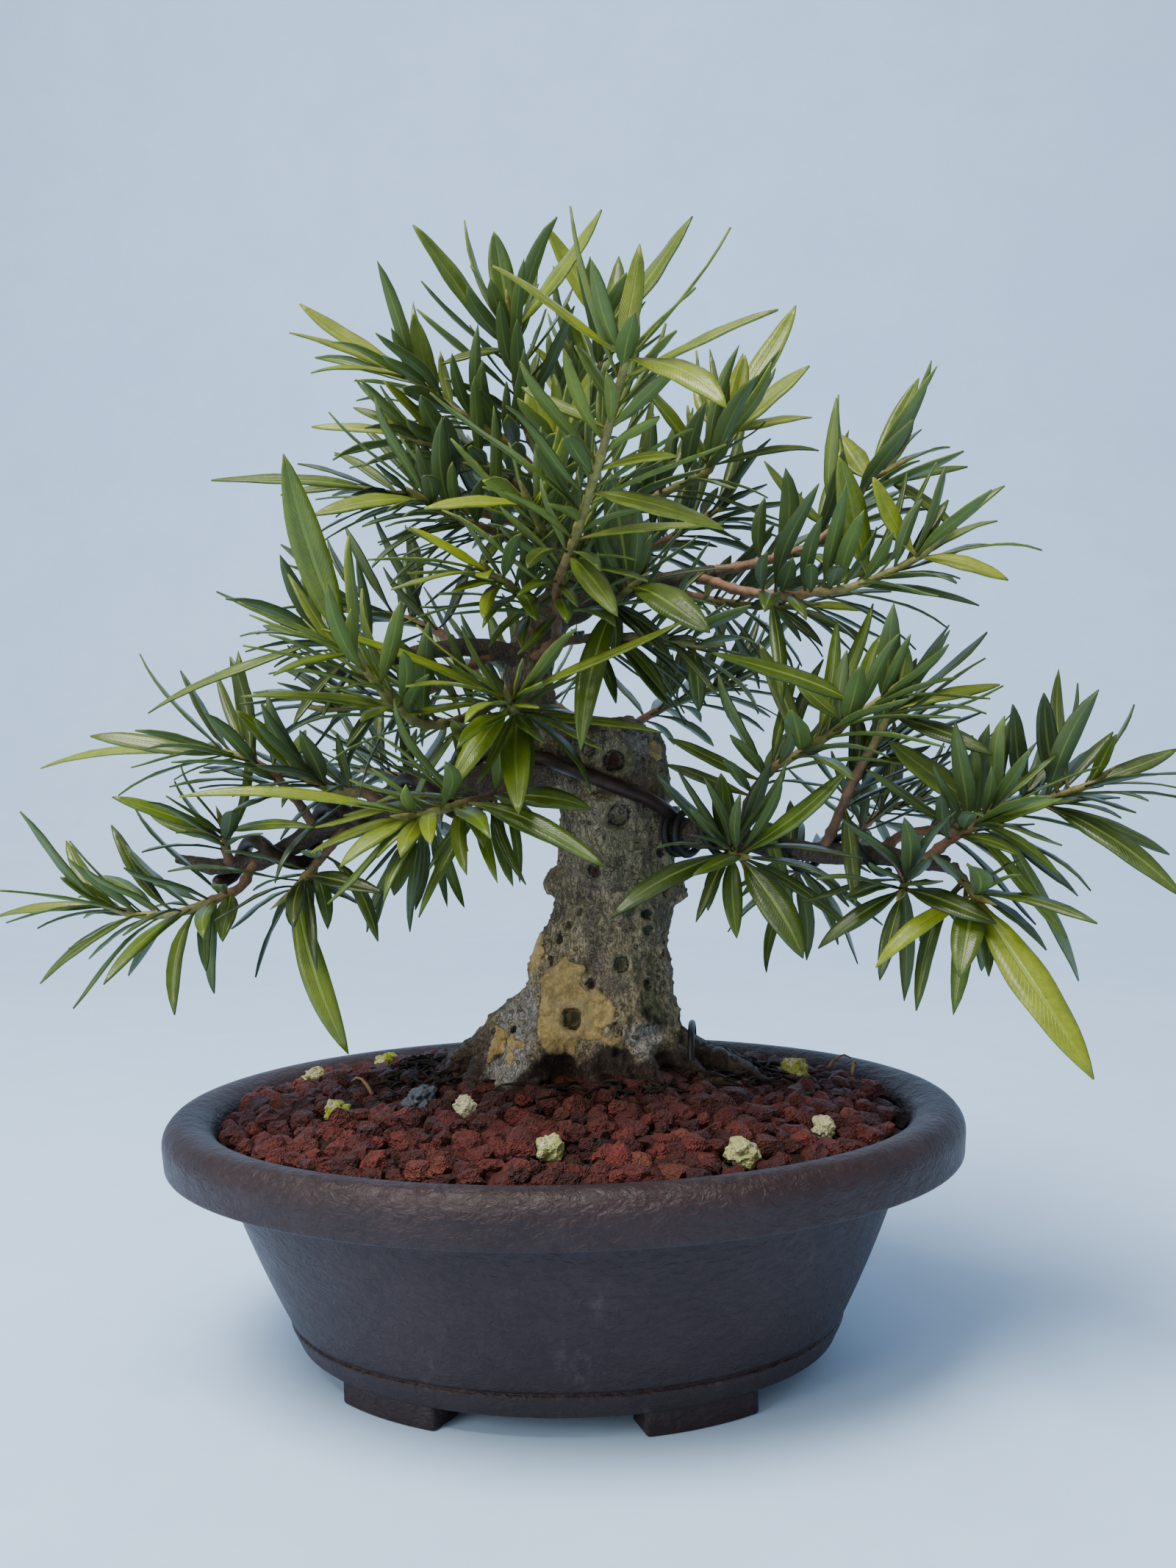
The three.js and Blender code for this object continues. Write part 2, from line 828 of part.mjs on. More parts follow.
// The place at a distance along a route, with its radius.
function placeAlong(route, distance) {
  const distances = distancesAlong(route);
  let i = 1;
  while (i + 1 < route.length && distances[i] < distance) i += 1;
  const share = (distance - distances[i - 1]) / (distances[i] - distances[i - 1]);
  return route[i].map((value, k) => route[i - 1][k] + (value - route[i - 1][k]) * share);
}

// The oval: a turned shape squashed a little more at the floor than at the rim.
function ovalRatio(radius) {
  return FLOOR_RATIO + (RIM_RATIO - FLOOR_RATIO) * (radius / POT_HALF_LENGTH);
}

function ovalGeometry(profile, segments) {
  const geometry = new THREE.LatheGeometry(
    profile.map(([radius, height]) => new THREE.Vector2(radius, height)),
    segments,
  );
  geometry.rotateX(Math.PI / 2);
  const at = geometry.attributes.position;
  for (let i = 0; i < at.count; i += 1) {
    at.setY(i, at.getY(i) * ovalRatio(Math.hypot(at.getX(i), at.getY(i))));
  }
  return geometry;
}

const FLOOR_TOP = FOOT_HEIGHT + FLOOR_THICKNESS;
const FLOOR_HALF_LENGTH = BASE_HALF_LENGTH - 1.8;
const CHANNEL_ROOF = POT_HEIGHT - 3.4;
const RIM_BAND_FOOT = POT_HEIGHT - RIM_BAND_HEIGHT;
const MOUTH_HALF_LENGTH = POT_HALF_LENGTH - RIM_LIP;
const LIP_FOOT = POT_HEIGHT - 1.4;
const INNER_WALL_TOP = WALL_TOP_HALF_LENGTH - WALL_THICKNESS;
const MIDDLE_WALL = [64, 24];
// Small roundings: under the foot of the wall, over its band, and along the rim.
const BASE_ROUNDING = 1;
const BAND_STEP = [0.4, 0.6];
const SKIRT_ROUNDING = 0.8;
const RIM_SHOULDER = 3;
const RIM_ROUNDING = 2.6;
const LIP_ROUNDING = 1;
const SOIL_GAP = FIT_GAP + 0.2;
const SOIL_EDGE = POT_HEIGHT - SOIL_EDGE_DROP;
const SOIL_HALF_LENGTH =
  between([INNER_WALL_TOP, MOUTH_HALF_LENGTH], (SOIL_EDGE - RIM_BAND_FOOT) / (LIP_FOOT - RIM_BAND_FOOT)) -
  SOIL_GAP;

function makePot() {
  const rim = POT_HALF_LENGTH;
  const profile = [
    [0, FOOT_HEIGHT],
    [BASE_HALF_LENGTH - BASE_ROUNDING, FOOT_HEIGHT],
    [BASE_HALF_LENGTH + BASE_ROUNDING, FOOT_HEIGHT + BASE_BAND_HEIGHT],
    [BASE_HALF_LENGTH + BAND_STEP[0], FOOT_HEIGHT + BASE_BAND_HEIGHT + BAND_STEP[1]],
    MIDDLE_WALL,
    [WALL_TOP_HALF_LENGTH, RIM_BAND_FOOT],
    [WALL_TOP_HALF_LENGTH + BASE_ROUNDING, CHANNEL_ROOF],
    [rim - SKIRT_THICKNESS, CHANNEL_ROOF],
    [rim - SKIRT_THICKNESS, RIM_BAND_FOOT],
    [rim - SKIRT_ROUNDING, RIM_BAND_FOOT],
    [rim, POT_HEIGHT - RIM_SHOULDER],
    [rim - RIM_ROUNDING, POT_HEIGHT],
    [MOUTH_HALF_LENGTH + LIP_ROUNDING, POT_HEIGHT],
    [MOUTH_HALF_LENGTH, LIP_FOOT],
    [INNER_WALL_TOP, RIM_BAND_FOOT],
    [MIDDLE_WALL[0] - WALL_THICKNESS, MIDDLE_WALL[1]],
    [FLOOR_HALF_LENGTH, FLOOR_TOP],
    [0, FLOOR_TOP],
  ];
  const [near, far] = FOOT_ANGLES.map(THREE.MathUtils.degToRad);
  const outside = BASE_HALF_LENGTH - FOOT_INSET;
  const inside = outside - FOOT_WIDTH;
  const feet = [[near, far], [Math.PI - far, Math.PI - near]].flatMap(([from, to]) =>
    [0, Math.PI].map((turn) => {
      const plan = new THREE.Shape();
      plan.absellipse(0, 0, outside, outside * ovalRatio(outside), from + turn, to + turn, false);
      plan.absellipse(0, 0, inside, inside * ovalRatio(inside), to + turn, from + turn, true);
      const depth = FOOT_HEIGHT + FLOOR_THICKNESS / 2;
      const settings = { depth, bevelEnabled: false, curveSegments: FOOT_SEGMENTS };
      return solidOf(new THREE.ExtrudeGeometry(plan, settings));
    }),
  );
  const holes = DRAIN_PLACES.map((x) => {
    const hole = new THREE.CylinderGeometry(DRAIN_RADIUS, DRAIN_RADIUS, 4 * FLOOR_THICKNESS, DRAIN_SIDES);
    hole.rotateX(Math.PI / 2).translate(x, 0, FOOT_HEIGHT + FLOOR_THICKNESS / 2);
    return solidOf(hole);
  });
  return join([solidOf(ovalGeometry(profile, POT_SEGMENTS)), ...feet]).subtract(join(holes));
}

// How high the heaped soil stands over a point of the pot.
function soilHeight(x, y) {
  const share = Math.hypot(x, y / ovalRatio(SOIL_HALF_LENGTH)) / SOIL_HALF_LENGTH;
  return SOIL_EDGE + (SOIL_TOP - SOIL_EDGE) * (1 - share * share);
}

// The soil fills the pot's inside, and its grains stand up at its top as a jittered relief.
function makeSoil(sockets) {
  const profile = [
    [0, FLOOR_TOP + SOIL_GAP],
    [FLOOR_HALF_LENGTH - SOIL_GAP, FLOOR_TOP + SOIL_GAP],
    [MIDDLE_WALL[0] - WALL_THICKNESS - SOIL_GAP, MIDDLE_WALL[1]],
    [INNER_WALL_TOP - SOIL_GAP, RIM_BAND_FOOT],
    [SOIL_HALF_LENGTH, SOIL_EDGE],
    ...SOIL_RINGS.map((radius) => [radius, SOIL_TOP]),
    [0, SOIL_TOP],
  ];
  const geometry = ovalGeometry(profile, POT_SEGMENTS);
  const draw = drawer(SOIL_SEED);
  const at = geometry.attributes.position;
  const heights = new Map();
  for (let i = 0; i < at.count; i += 1) {
    if (at.getZ(i) < SOIL_TOP - 0.01) continue;
    const key = [at.getX(i), at.getY(i)].map((value) => Math.round(value * 50)).join();
    if (!heights.has(key)) heights.set(key, (2 * draw() - 1) * GRAIN_RELIEF);
    at.setZ(i, soilHeight(at.getX(i), at.getY(i)) + heights.get(key));
  }
  return solidOf(geometry).subtract(join(sockets));
}

function grainSolid([x, y, radius], grow) {
  const grain = new THREE.IcosahedronGeometry(radius + grow, 0);
  grain.rotateX(x).rotateY(y).scale(1, 1, GRAIN_FLATNESS);
  grain.translate(x, y, soilHeight(x, y) + radius * GRAIN_STAND);
  return solidOf(grain);
}

// The wood, all one piece: roots, trunk and limbs, with the stubs of cut branches.
function makeWood(grow) {
  const limbs = Object.values(LIMBS).map(({ path, sides }) => tube(path, sides, grow));
  const knobs = KNOBS.map(([x, y, z, radius]) =>
    solidOf(new THREE.IcosahedronGeometry(radius + grow, 0).translate(x, y, z)),
  );
  return join([...limbs, ...knobs]);
}

// A wire's turns round a limb, touching its bark but for a small gap.
function coilRoute([limb, from, to, startDegrees, turns], radius) {
  const steps = Math.ceil(Math.abs(turns) * STEPS_PER_TURN);
  const axis = Array.from({ length: steps + 1 }, (_, i) =>
    placeAlong(LIMBS[limb].path, from + ((to - from) * i) / steps),
  );
  return framesAlong(axis).map(({ point, side, up }, i) => {
    const angle = THREE.MathUtils.degToRad(startDegrees) + (2 * Math.PI * turns * i) / steps;
    const reach = (axis[i][3] + radius + FIT_GAP) / Math.cos(Math.PI / STEPS_PER_TURN);
    point.addScaledVector(side, reach * Math.cos(angle)).addScaledVector(up, reach * Math.sin(angle));
    return [...point.toArray(), radius];
  });
}

const withRadius = (route, radius) => route.map(([x, y, z]) => [x, y, z, radius]);

const WIRES = {
  branch_wire: BRANCH_WIRE.flatMap((coil) => coilRoute(coil, BRANCH_WIRE_RADIUS)),
  coil_wire: COIL_WIRE.flatMap((coil) => coilRoute(coil, COIL_WIRE_RADIUS)),
  tie_wire: withRadius(TIE_WIRE, TIE_WIRE_RADIUS),
};

// What stands already, as straight bars. A round bar has a radius, and a flat one has half a width
// across its side and half a depth across its face.
const standing = [];

function roundBars(route, owner) {
  return route.slice(1).map((end, i) => ({
    owner,
    line: new THREE.Line3(vec(route[i]), vec(end)),
    width: Math.max(route[i][3], end[3]),
  }));
}

function halfReach(bar, way) {
  if (!bar.side) return bar.width;
  return bar.width * Math.abs(bar.side.dot(way)) + bar.depth * Math.abs(bar.face.dot(way));
}

function touches(bar, other) {
  const one = new THREE.Vector3();
  const two = new THREE.Vector3();
  const distance = Math.sqrt(bar.line.distanceSqToLine3(other.line, one, two));
  if (distance > bar.width + other.width + LEAF_CLEARANCE) return false;
  if (distance < 0.01) return true;
  const way = two.sub(one).divideScalar(distance);
  return distance < halfReach(bar, way) + halfReach(other, way) + LEAF_CLEARANCE;
}

// Where a shoot's stem starts: clear of the side or the end of the limb that bears it.
function shootStart(limb, stem, radius) {
  const path = LIMBS[limb].path;
  const toward = vec(stem[1]);
  let nearest = null;
  for (let i = 1; i < path.length; i += 1) {
    const line = new THREE.Line3(vec(path[i - 1]), vec(path[i]));
    const share = line.closestPointToPointParameter(vec(stem[0]), true);
    const point = line.at(share, new THREE.Vector3());
    const gap = point.distanceTo(vec(stem[0]));
    if (nearest && nearest.gap <= gap) continue;
    const along = line.delta(new THREE.Vector3()).normalize();
    const thickness = path[i - 1][3] + (path[i][3] - path[i - 1][3]) * share;
    nearest = { gap, point, along, thickness, atEnd: i + 1 === path.length && share === 1 };
  }
  const way = toward.sub(nearest.point).normalize();
  const cosine = way.dot(nearest.along);
  const sine = Math.sqrt(1 - cosine * cosine);
  const onward = nearest.atEnd && cosine > 0.5;
  const reach = onward
    ? (SHOOT_GAP + radius * sine) / cosine
    : (nearest.thickness + SHOOT_GAP + radius * Math.abs(cosine)) / sine;
  return nearest.point.addScaledVector(way, reach).toArray();
}

function stemRoute({ from, stem }) {
  const route = [shootStart(from, stem, SHOOT_BASE_RADIUS), ...stem.slice(1)];
  const last = route.length - 1;
  return route.map((point, i) => {
    const radius = between([SHOOT_BASE_RADIUS, SHOOT_TIP_RADIUS], i / last);
    return [...point, radius];
  });
}

// A leaf from its root to its tip, looking the way of "facing".
function makeLeaf(root, tip, width, facing, stations) {
  const length = root.distanceTo(tip);
  const along = tip.clone().sub(root).normalize();
  const face = facing.clone().addScaledVector(along, -facing.dot(along)).normalize();
  const side = new THREE.Vector3().crossVectors(face, along);
  return { root, tip, width: Math.max(width, NARROWEST_LEAF), length, along, face, side, stations };
}

function ribPoint(leaf, share) {
  const bow = LEAF_ARCH - LEAF_SWEEP * Math.max(leaf.along.z, 0);
  const rise = bow * leaf.length * 4 * share * (1 - share);
  return leaf.root.clone().lerp(leaf.tip, share).addScaledVector(leaf.face, rise);
}

function leafBars(leaf, owner) {
  const ribs = [0, LEAF_STATIONS[1][0], LEAF_STATIONS[2][0], 1].map((share) => ribPoint(leaf, share));
  return LEAF_BAR_WIDTHS.map((share, i) => ({
    owner,
    line: new THREE.Line3(ribs[i], ribs[i + 1]),
    width: (leaf.width / 2) * share,
    depth: LEAF_THICKNESS / 2,
    side: leaf.side,
    face: leaf.face,
  }));
}

function leafSolid(leaf) {
  const rings = leaf.stations.map(([share, spread]) => {
    const middle = ribPoint(leaf, share);
    const half = Math.max(leaf.width * spread, LEAF_ROOT_WIDTH) / 2;
    const raised = middle.clone().addScaledVector(leaf.face, half * LEAF_FOLD + LEAF_THICKNESS / 2);
    return [
      raised.clone().addScaledVector(leaf.side, half),
      raised.clone().addScaledVector(leaf.side, -half),
      middle.addScaledVector(leaf.face, -LEAF_THICKNESS / 2),
    ];
  });
  return solidOf(skin([...rings, [leaf.tip]]));
}

// A leaf may touch the stem that bears it, and near its root the leaves beside it.
function stands(leaf, owner) {
  if (Math.min(leaf.root.z, leaf.tip.z) < LOWEST_LEAF) return false;
  return leafBars(leaf, owner).every((bar, i) =>
    standing.every((other) => {
      const own = other.owner === owner;
      return own && (!other.side || i === 0 || other.nearRoot) ? true : !touches(bar, other);
    }),
  );
}

function settle(leaf, owner, shoot) {
  leafBars(leaf, owner).forEach((bar, i) => standing.push({ ...bar, nearRoot: i === 0 }));
  shoot.leaves.push(leaf);
}

function listedLeaf(shoot, [share, x, y, z, width]) {
  const root = vec(placeAlong(shoot.route, Math.min(share * shoot.length, shoot.length - TIP_INSET)));
  for (const shift of DEPTH_SHIFTS) {
    const tip = new THREE.Vector3(x, y + shift, z);
    const leaf = makeLeaf(root, tip, width, vec(LISTED_LEAF_FACING), LEAF_STATIONS);
    if (stands(leaf, shoot.name)) return leaf;
  }
  return null;
}

function smallLeaf(shoot, number, count, draw) {
  const share = between([FIRST_SMALL_LEAF, 1], (number + SMALL_LEAF_STAGGER) / count);
  const at = Math.min(share * shoot.length, shoot.length - TIP_INSET);
  const root = vec(placeAlong(shoot.route, at));
  const ahead = vec(placeAlong(shoot.route, at + 0.5));
  const along = ahead.sub(root).normalize();
  const side = new THREE.Vector3().crossVectors(along, vec(SPIRAL_AXIS)).normalize();
  const other = new THREE.Vector3().crossVectors(along, side);
  const length = between(SMALL_LEAF_LENGTHS, draw());
  const width = between(SMALL_LEAF_WIDTHS, draw());
  const lean = LEAN.least + LEAN.towardsTip * share * share + LEAN.random * draw();
  const start = number * SPIRAL_TURN + shoot.number + draw() * SPIRAL_RANDOM;
  for (const turn of TURNS) {
    const outward = side.clone().multiplyScalar(Math.cos(start + turn));
    outward.addScaledVector(other, Math.sin(start + turn));
    const way = outward.clone().addScaledVector(along, lean).addScaledVector(UP, SMALL_LEAF_LIFT);
    const tip = root.clone().addScaledVector(way.normalize(), length);
    const facing = outward.multiplyScalar(SMALL_LEAF_TILT).add(UP);
    const leaf = makeLeaf(root, tip, width, facing, SMALL_LEAF_STATIONS);
    if (stands(leaf, shoot.name)) return leaf;
  }
  return null;
}

function growShoots() {
  Object.entries(LIMBS).forEach(([name, { path }]) => standing.push(...roundBars(path, name)));
  Object.entries(WIRES).forEach(([name, route]) => standing.push(...roundBars(route, name)));
  const shoots = Object.entries(SHOOTS).map(([name, shoot], number) => {
    const route = stemRoute(shoot);
    standing.push(...roundBars(route, name));
    return { name, number, route, length: distancesAlong(route).at(-1), listed: shoot.leaves, leaves: [] };
  });
  for (const shoot of shoots) {
    for (const entry of shoot.listed) {
      const leaf = listedLeaf(shoot, entry);
      if (leaf) settle(leaf, shoot.name, shoot);
    }
  }
  for (const shoot of shoots) {
    const draw = drawer(LEAF_SEED + shoot.number * LEAF_SEED_STEP);
    const count = FEWEST_SMALL_LEAVES + Math.round(shoot.length / STEM_PER_SMALL_LEAF);
    for (let number = 0; number < count; number += 1) {
      const leaf = smallLeaf(shoot, number, count, draw);
      if (leaf) settle(leaf, shoot.name, shoot);
    }
  }
  return shoots;
}

// Colours and finishes.
const FINISHES = {
  pot: { color: 0x3a3431, roughness: 0.55 },
  soil: { color: 0x6b3a31, roughness: 0.95 },
  wood: { color: 0x9a8a76, roughness: 0.85 },
  leaf: { color: 0x3f6b2a, roughness: 0.4 },
  young: { color: 0x6f8f3a, roughness: 0.4 },
  wire: { color: 0x2b2624, roughness: 0.45, metalness: 0.8 },
  pumice: { color: 0xc9c6b4, roughness: 0.9 },
  stone: { color: 0x4a525c, roughness: 0.8 },
};

const group = new THREE.Group();

function add(name, solid, finish) {
  const mesh = new THREE.Mesh(geometryOf(solid), new THREE.MeshStandardMaterial(FINISHES[finish]));
  mesh.name = name;
  group.add(mesh);
}

const wireSolid = (name, grow = 0) => tube(WIRES[name], WIRE_SIDES, grow);
const sockets = [makeWood(FIT_GAP), wireSolid("tie_wire", FIT_GAP)];
Object.values(LOOSE_GRAINS).forEach((grain) => sockets.push(grainSolid(grain, GRAIN_GAP)));

add("pot", makePot(), "pot");
add("soil", makeSoil(sockets), "soil");
add("wood", makeWood(0), "wood");
Object.keys(WIRES).forEach((name) => add(name, wireSolid(name), "wire"));
Object.entries(LOOSE_GRAINS).forEach(([name, grain]) =>
  add(name, grainSolid(grain, 0), name.startsWith("stone") ? "stone" : "pumice"),
);
growShoots().forEach((shoot) => {
  const stem = tube(shoot.route, STEM_SIDES);
  const young = shoot.name.includes("front") || shoot.name.includes("crown");
  add(`shoot_${shoot.name}`, join([stem, ...shoot.leaves.map(leafSolid)]), young ? "young" : "leaf");
});

// The group stands with the middle of its box's underside at the origin.
const middle = new THREE.Box3().setFromObject(group).getCenter(new THREE.Vector3());
group.position.set(-middle.x, -middle.y, 0);

export default group;
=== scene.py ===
"""A willow leaf fig grown as a small tree in its oval training pot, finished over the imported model.

Every piece is modelled in millimetres about the middle of the pot, with its feet at height 0 and
the front of the tree towards -Y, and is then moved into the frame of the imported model.
"""

import math

import bmesh
import bpy
import numpy as np
from bpy.props import FloatProperty, FloatVectorProperty, IntProperty, PointerProperty
from mathutils import Matrix, Vector, noise
from mathutils.bvhtree import BVHTree


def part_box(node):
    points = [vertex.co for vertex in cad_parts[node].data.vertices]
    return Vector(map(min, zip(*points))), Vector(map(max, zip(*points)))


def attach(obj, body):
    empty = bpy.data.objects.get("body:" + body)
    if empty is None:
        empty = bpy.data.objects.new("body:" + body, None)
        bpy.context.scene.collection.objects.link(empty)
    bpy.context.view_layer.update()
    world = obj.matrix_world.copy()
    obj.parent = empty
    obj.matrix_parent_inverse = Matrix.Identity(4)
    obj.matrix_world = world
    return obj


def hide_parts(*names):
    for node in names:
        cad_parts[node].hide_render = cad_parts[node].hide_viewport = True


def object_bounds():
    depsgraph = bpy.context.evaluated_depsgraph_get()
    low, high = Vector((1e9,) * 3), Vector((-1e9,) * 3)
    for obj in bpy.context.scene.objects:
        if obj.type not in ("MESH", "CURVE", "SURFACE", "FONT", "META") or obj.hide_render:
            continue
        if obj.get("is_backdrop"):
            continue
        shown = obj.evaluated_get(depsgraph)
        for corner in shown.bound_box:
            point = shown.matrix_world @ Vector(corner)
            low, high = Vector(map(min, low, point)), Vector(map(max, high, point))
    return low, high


bl_info = {
    "name": "Willow leaf fig in a training pot",
    "version": (1, 0, 0),
    "blender": (4, 5, 0),
    "location": "3D Viewport > Sidebar > Small tree",
    "description": "Builds the pot, soil, wood, wires and leafy shoots of a small potted fig",
    "category": "Add Mesh",
}

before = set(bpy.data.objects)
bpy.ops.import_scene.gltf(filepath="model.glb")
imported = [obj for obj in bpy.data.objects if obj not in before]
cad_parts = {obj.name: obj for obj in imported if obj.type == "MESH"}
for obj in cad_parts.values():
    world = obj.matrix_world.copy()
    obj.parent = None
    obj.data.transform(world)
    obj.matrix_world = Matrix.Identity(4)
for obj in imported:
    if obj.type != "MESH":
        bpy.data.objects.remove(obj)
CAD_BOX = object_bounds()

MM = 0.001
POT_LOW, POT_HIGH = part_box("pot")
POT_MIDDLE = Vector(((POT_LOW.x + POT_HIGH.x) / 2, (POT_LOW.y + POT_HIGH.y) / 2, 0))
TO_FRAME = Matrix.Translation(POT_MIDDLE) @ Matrix.Scale(MM, 4)

# The pot, in millimetres, as the solids have it.
POT_HALF_LENGTH = 82.5
POT_HEIGHT = 52
RIM_BAND_HEIGHT = 9.5
RIM_LIP = 10
FOOT_HEIGHT = 4.8
FLOOR_THICKNESS = 2.6
WALL_THICKNESS = 2
BASE_HALF_LENGTH = 56.5
BASE_BAND_HEIGHT = 4.4
BASE_CORNER = 1.8
WALL_TOP_HALF_LENGTH = 70.6
SKIRT_THICKNESS = 2.6
FOOT_INSET = 2
FOOT_WIDTH = 9
FOOT_ANGLES = (43, 69)
DRAIN_RADIUS = 6
DRAIN_PLACES = (-26, 26)
FLOOR_RATIO = 0.7
RIM_RATIO = 0.77
MIDDLE_WALL = (64, 24)
POT_TURN_STEPS = 144
FOOT_ROUNDING = 0.7
FOOT_CUTS = 12

# The soil, and the loose grains on it as [x, y, radius, how mossy].
SOIL_EDGE = POT_HEIGHT - 3.5
SOIL_TOP = 57.5
SOIL_HALF_LENGTH = 70.9
LOOSE_GRAINS = {
    "pumice_left_edge": (-58, 17, 2.6, 0.45),
    "pumice_left_back": (-45, 30, 2.8, 1.0),
    "pumice_left": (-42, -19, 2.5, 1.0),
    "stone_grey": (-25, -18, 2.8, 0.0),
    "pumice_white": (-15, -24, 2.4, 0.05),
    "pumice_front": (4, -41, 2.6, 0.55),
    "pumice_large": (49, 12, 3.6, 0.85),
    "pumice_right_front": (38, -38, 2.6, 0.5),
    "pumice_right": (53, -23, 2.6, 0.25),
}

# The limbs as [x, y, z, radius], and the stubs of cut branches.
LIMBS = {
    "trunk": (
        (9, 5, 46, 17), (9, 5, 58, 17), (9, 5, 66, 16.5), (9, 5, 74, 15.5), (10, 5, 82, 14), (12, 4, 90, 12.2),
        (13, 4, 98, 12.2), (13, 4, 108, 11.8), (13, 4, 116, 12), (12, 5, 123, 12), (12, 5, 128, 10.6),
        (12, 5, 131, 6.5),
    ),
    "upper_trunk": (
        (2, 5, 120, 6), (-2, 5, 128, 5.6), (-4, 5, 136, 5), (-5, 5, 143, 4.8), (-2, 5, 150, 4.6), (4, 5, 157, 4.5),
        (5, 6, 164, 4), (4, 6, 172, 3.2), (2, 6, 182, 2.2),
    ),
    "left_low": (
        (6, 4, 120, 4.2), (-7, 0, 120, 3.6), (-17, -4, 118, 3.2), (-31, -8, 114, 2.8), (-45, -12, 110, 2.4),
        (-55, -14, 105, 2.1), (-64, -16, 103, 1.8), (-74, -18, 105, 1.4),
    ),
    "right_low": (
        (16, 4, 108, 4), (27, -2, 107, 3.2), (34, -6, 106, 2.7), (42, -9, 105, 2.5), (53, -12, 103, 2.3),
        (66, -13, 102, 2), (79, -14, 100, 1.7),
    ),
    "left_mid": ((-3, 4, 144, 2.6), (-12, -2, 146, 2.2), (-20, -7, 146, 1.9), (-29, -12, 144, 1.5)),
    "right_mid": ((3, 5, 153, 2.8), (14, 4, 157, 2.4), (25, 1, 159, 2), (36, -2, 160, 1.6)),
    "back_low": ((12, 8, 120, 3.6), (9, 22, 128, 2.8), (4, 34, 131, 2.2), (-2, 44, 133, 1.6)),
    "back_high": ((4, 6, 160, 2.4), (8, 16, 166, 2), (12, 26, 171, 1.6)),
    "left_root": ((6, 5, 70, 11), (-5, 3, 65, 9), (-14, 1, 60, 7), (-25, -2, 53, 5)),
    "front_root": ((5, 0, 68, 9), (-3, -8, 62, 6.5), (-8, -15, 55, 4.5)),
    "right_root": ((14, 5, 66, 9), (24, 5, 61, 5), (36, 3, 57, 3.6), (46, 2, 51, 3)),
}
KNOBS = ((11, -6, 113, 3.4), (1, 1, 97, 3), (25, 3, 95, 3), (14, -6, 127, 2.8))

# Finer roots than the solids carry, as [x, y, z, radius].
FINE_ROOTS = (
    ((-12, 0, 62, 5), (-20, -3, 58, 3.6), (-26, -8, 55, 2.2), (-29, -13, 52, 1.2)),
    ((-10, -5, 62, 4.4), (-15, -11, 58.5, 3), (-16, -17, 54, 1.8)),
    ((-8, 4, 63, 5), (-19, 7, 60, 3.4), (-30, 11, 56, 2), (-38, 16, 51, 1.2)),
    ((-2, -9, 62, 4.6), (-5, -14, 58, 3.6), (-8, -18, 54.5, 2.6)),
    ((8, -8, 64, 4.2), (9, -13, 58.5, 2.8), (10, -17, 54, 1.4)),
    ((16, -6, 64, 4.2), (20, -10, 59, 2.6), (24, -14, 54.5, 1.4)),
    ((20, 0, 63, 5), (27, -3, 58.6, 3), (35, -6, 55.6, 2), (42, -9, 52, 1)),
    ((24, 8, 61, 4), (33, 12, 58, 2.4), (42, 17, 54, 1.5)),
    ((10, 18, 62, 6), (8, 26, 58, 3.6), (4, 34, 54, 2)),
    ((0, 14, 64, 5), (-8, 22, 58, 3), (-14, 30, 53, 1.6)),
    ((-14, -1, 63.5, 2.6), (-17, -4, 62.5, 2.7), (-21, -5, 60, 2.4)),
)

# Scars on the front of the bark: x, z, radius, height of the ring, depth and tint of the middle.
SCARS = (
    (14.3, 122.2, 3.565, 0.75, 1.1, "heart"),
    (9.4, 124.6, 2.53, 0.4, 0.5, "bark"),
    (14.9, 111.2, 3.795, 1.15, 0.35, "bark"),
    (9.8, 99.9, 2.53, 0.55, 0.75, "heart"),
    (19.6, 90.7, 1.84, 0.4, 0.6, "dark"),
    (19.5, 87.6, 1.84, 0.45, 0.5, "moss"),
    (1.9, 86.0, 2.185, 0.45, 0.9, "dark"),
    (3.9, 88.6, 1.725, 0.35, 0.4, "moss"),
    (14.6, 80.9, 2.76, 0.5, 0.5, "moss"),
    (0.0, 81.4, 1.84, 0.45, 0.4, "dark"),
    (4.6, 70.6, 3.565, 1.0, 1.7, "moss"),
    (16.2, 69.6, 1.725, 0.35, 0.4, "bark"),
    (13.6, 68.2, 2.185, 0.35, 0.4, "bark"),
    (19.7, 76.2, 1.84, 0.35, 0.45, "moss"),
    (8.5, 77.4, 1.725, 0.4, 0.9, "heart"),
    (23.0, 103.0, 1.725, 0.4, 0.4, "dark"),
    (6.4, 91.5, 1.495, 0.3, 0.35, "moss"),
    (23.4, 95.0, 2.185, 0.5, 0.5, "dark"),
    (18.2, 104.5, 1.38, 0.3, 0.3, "bark"),
    (22.0, 82.0, 1.725, 0.4, 0.4, "moss"),
    (-8.2, 66.9, 1.955, 0.3, 1.3, "dark"),
    (13.6, 63.6, 1.38, 0.3, 0.9, "dark"),
)

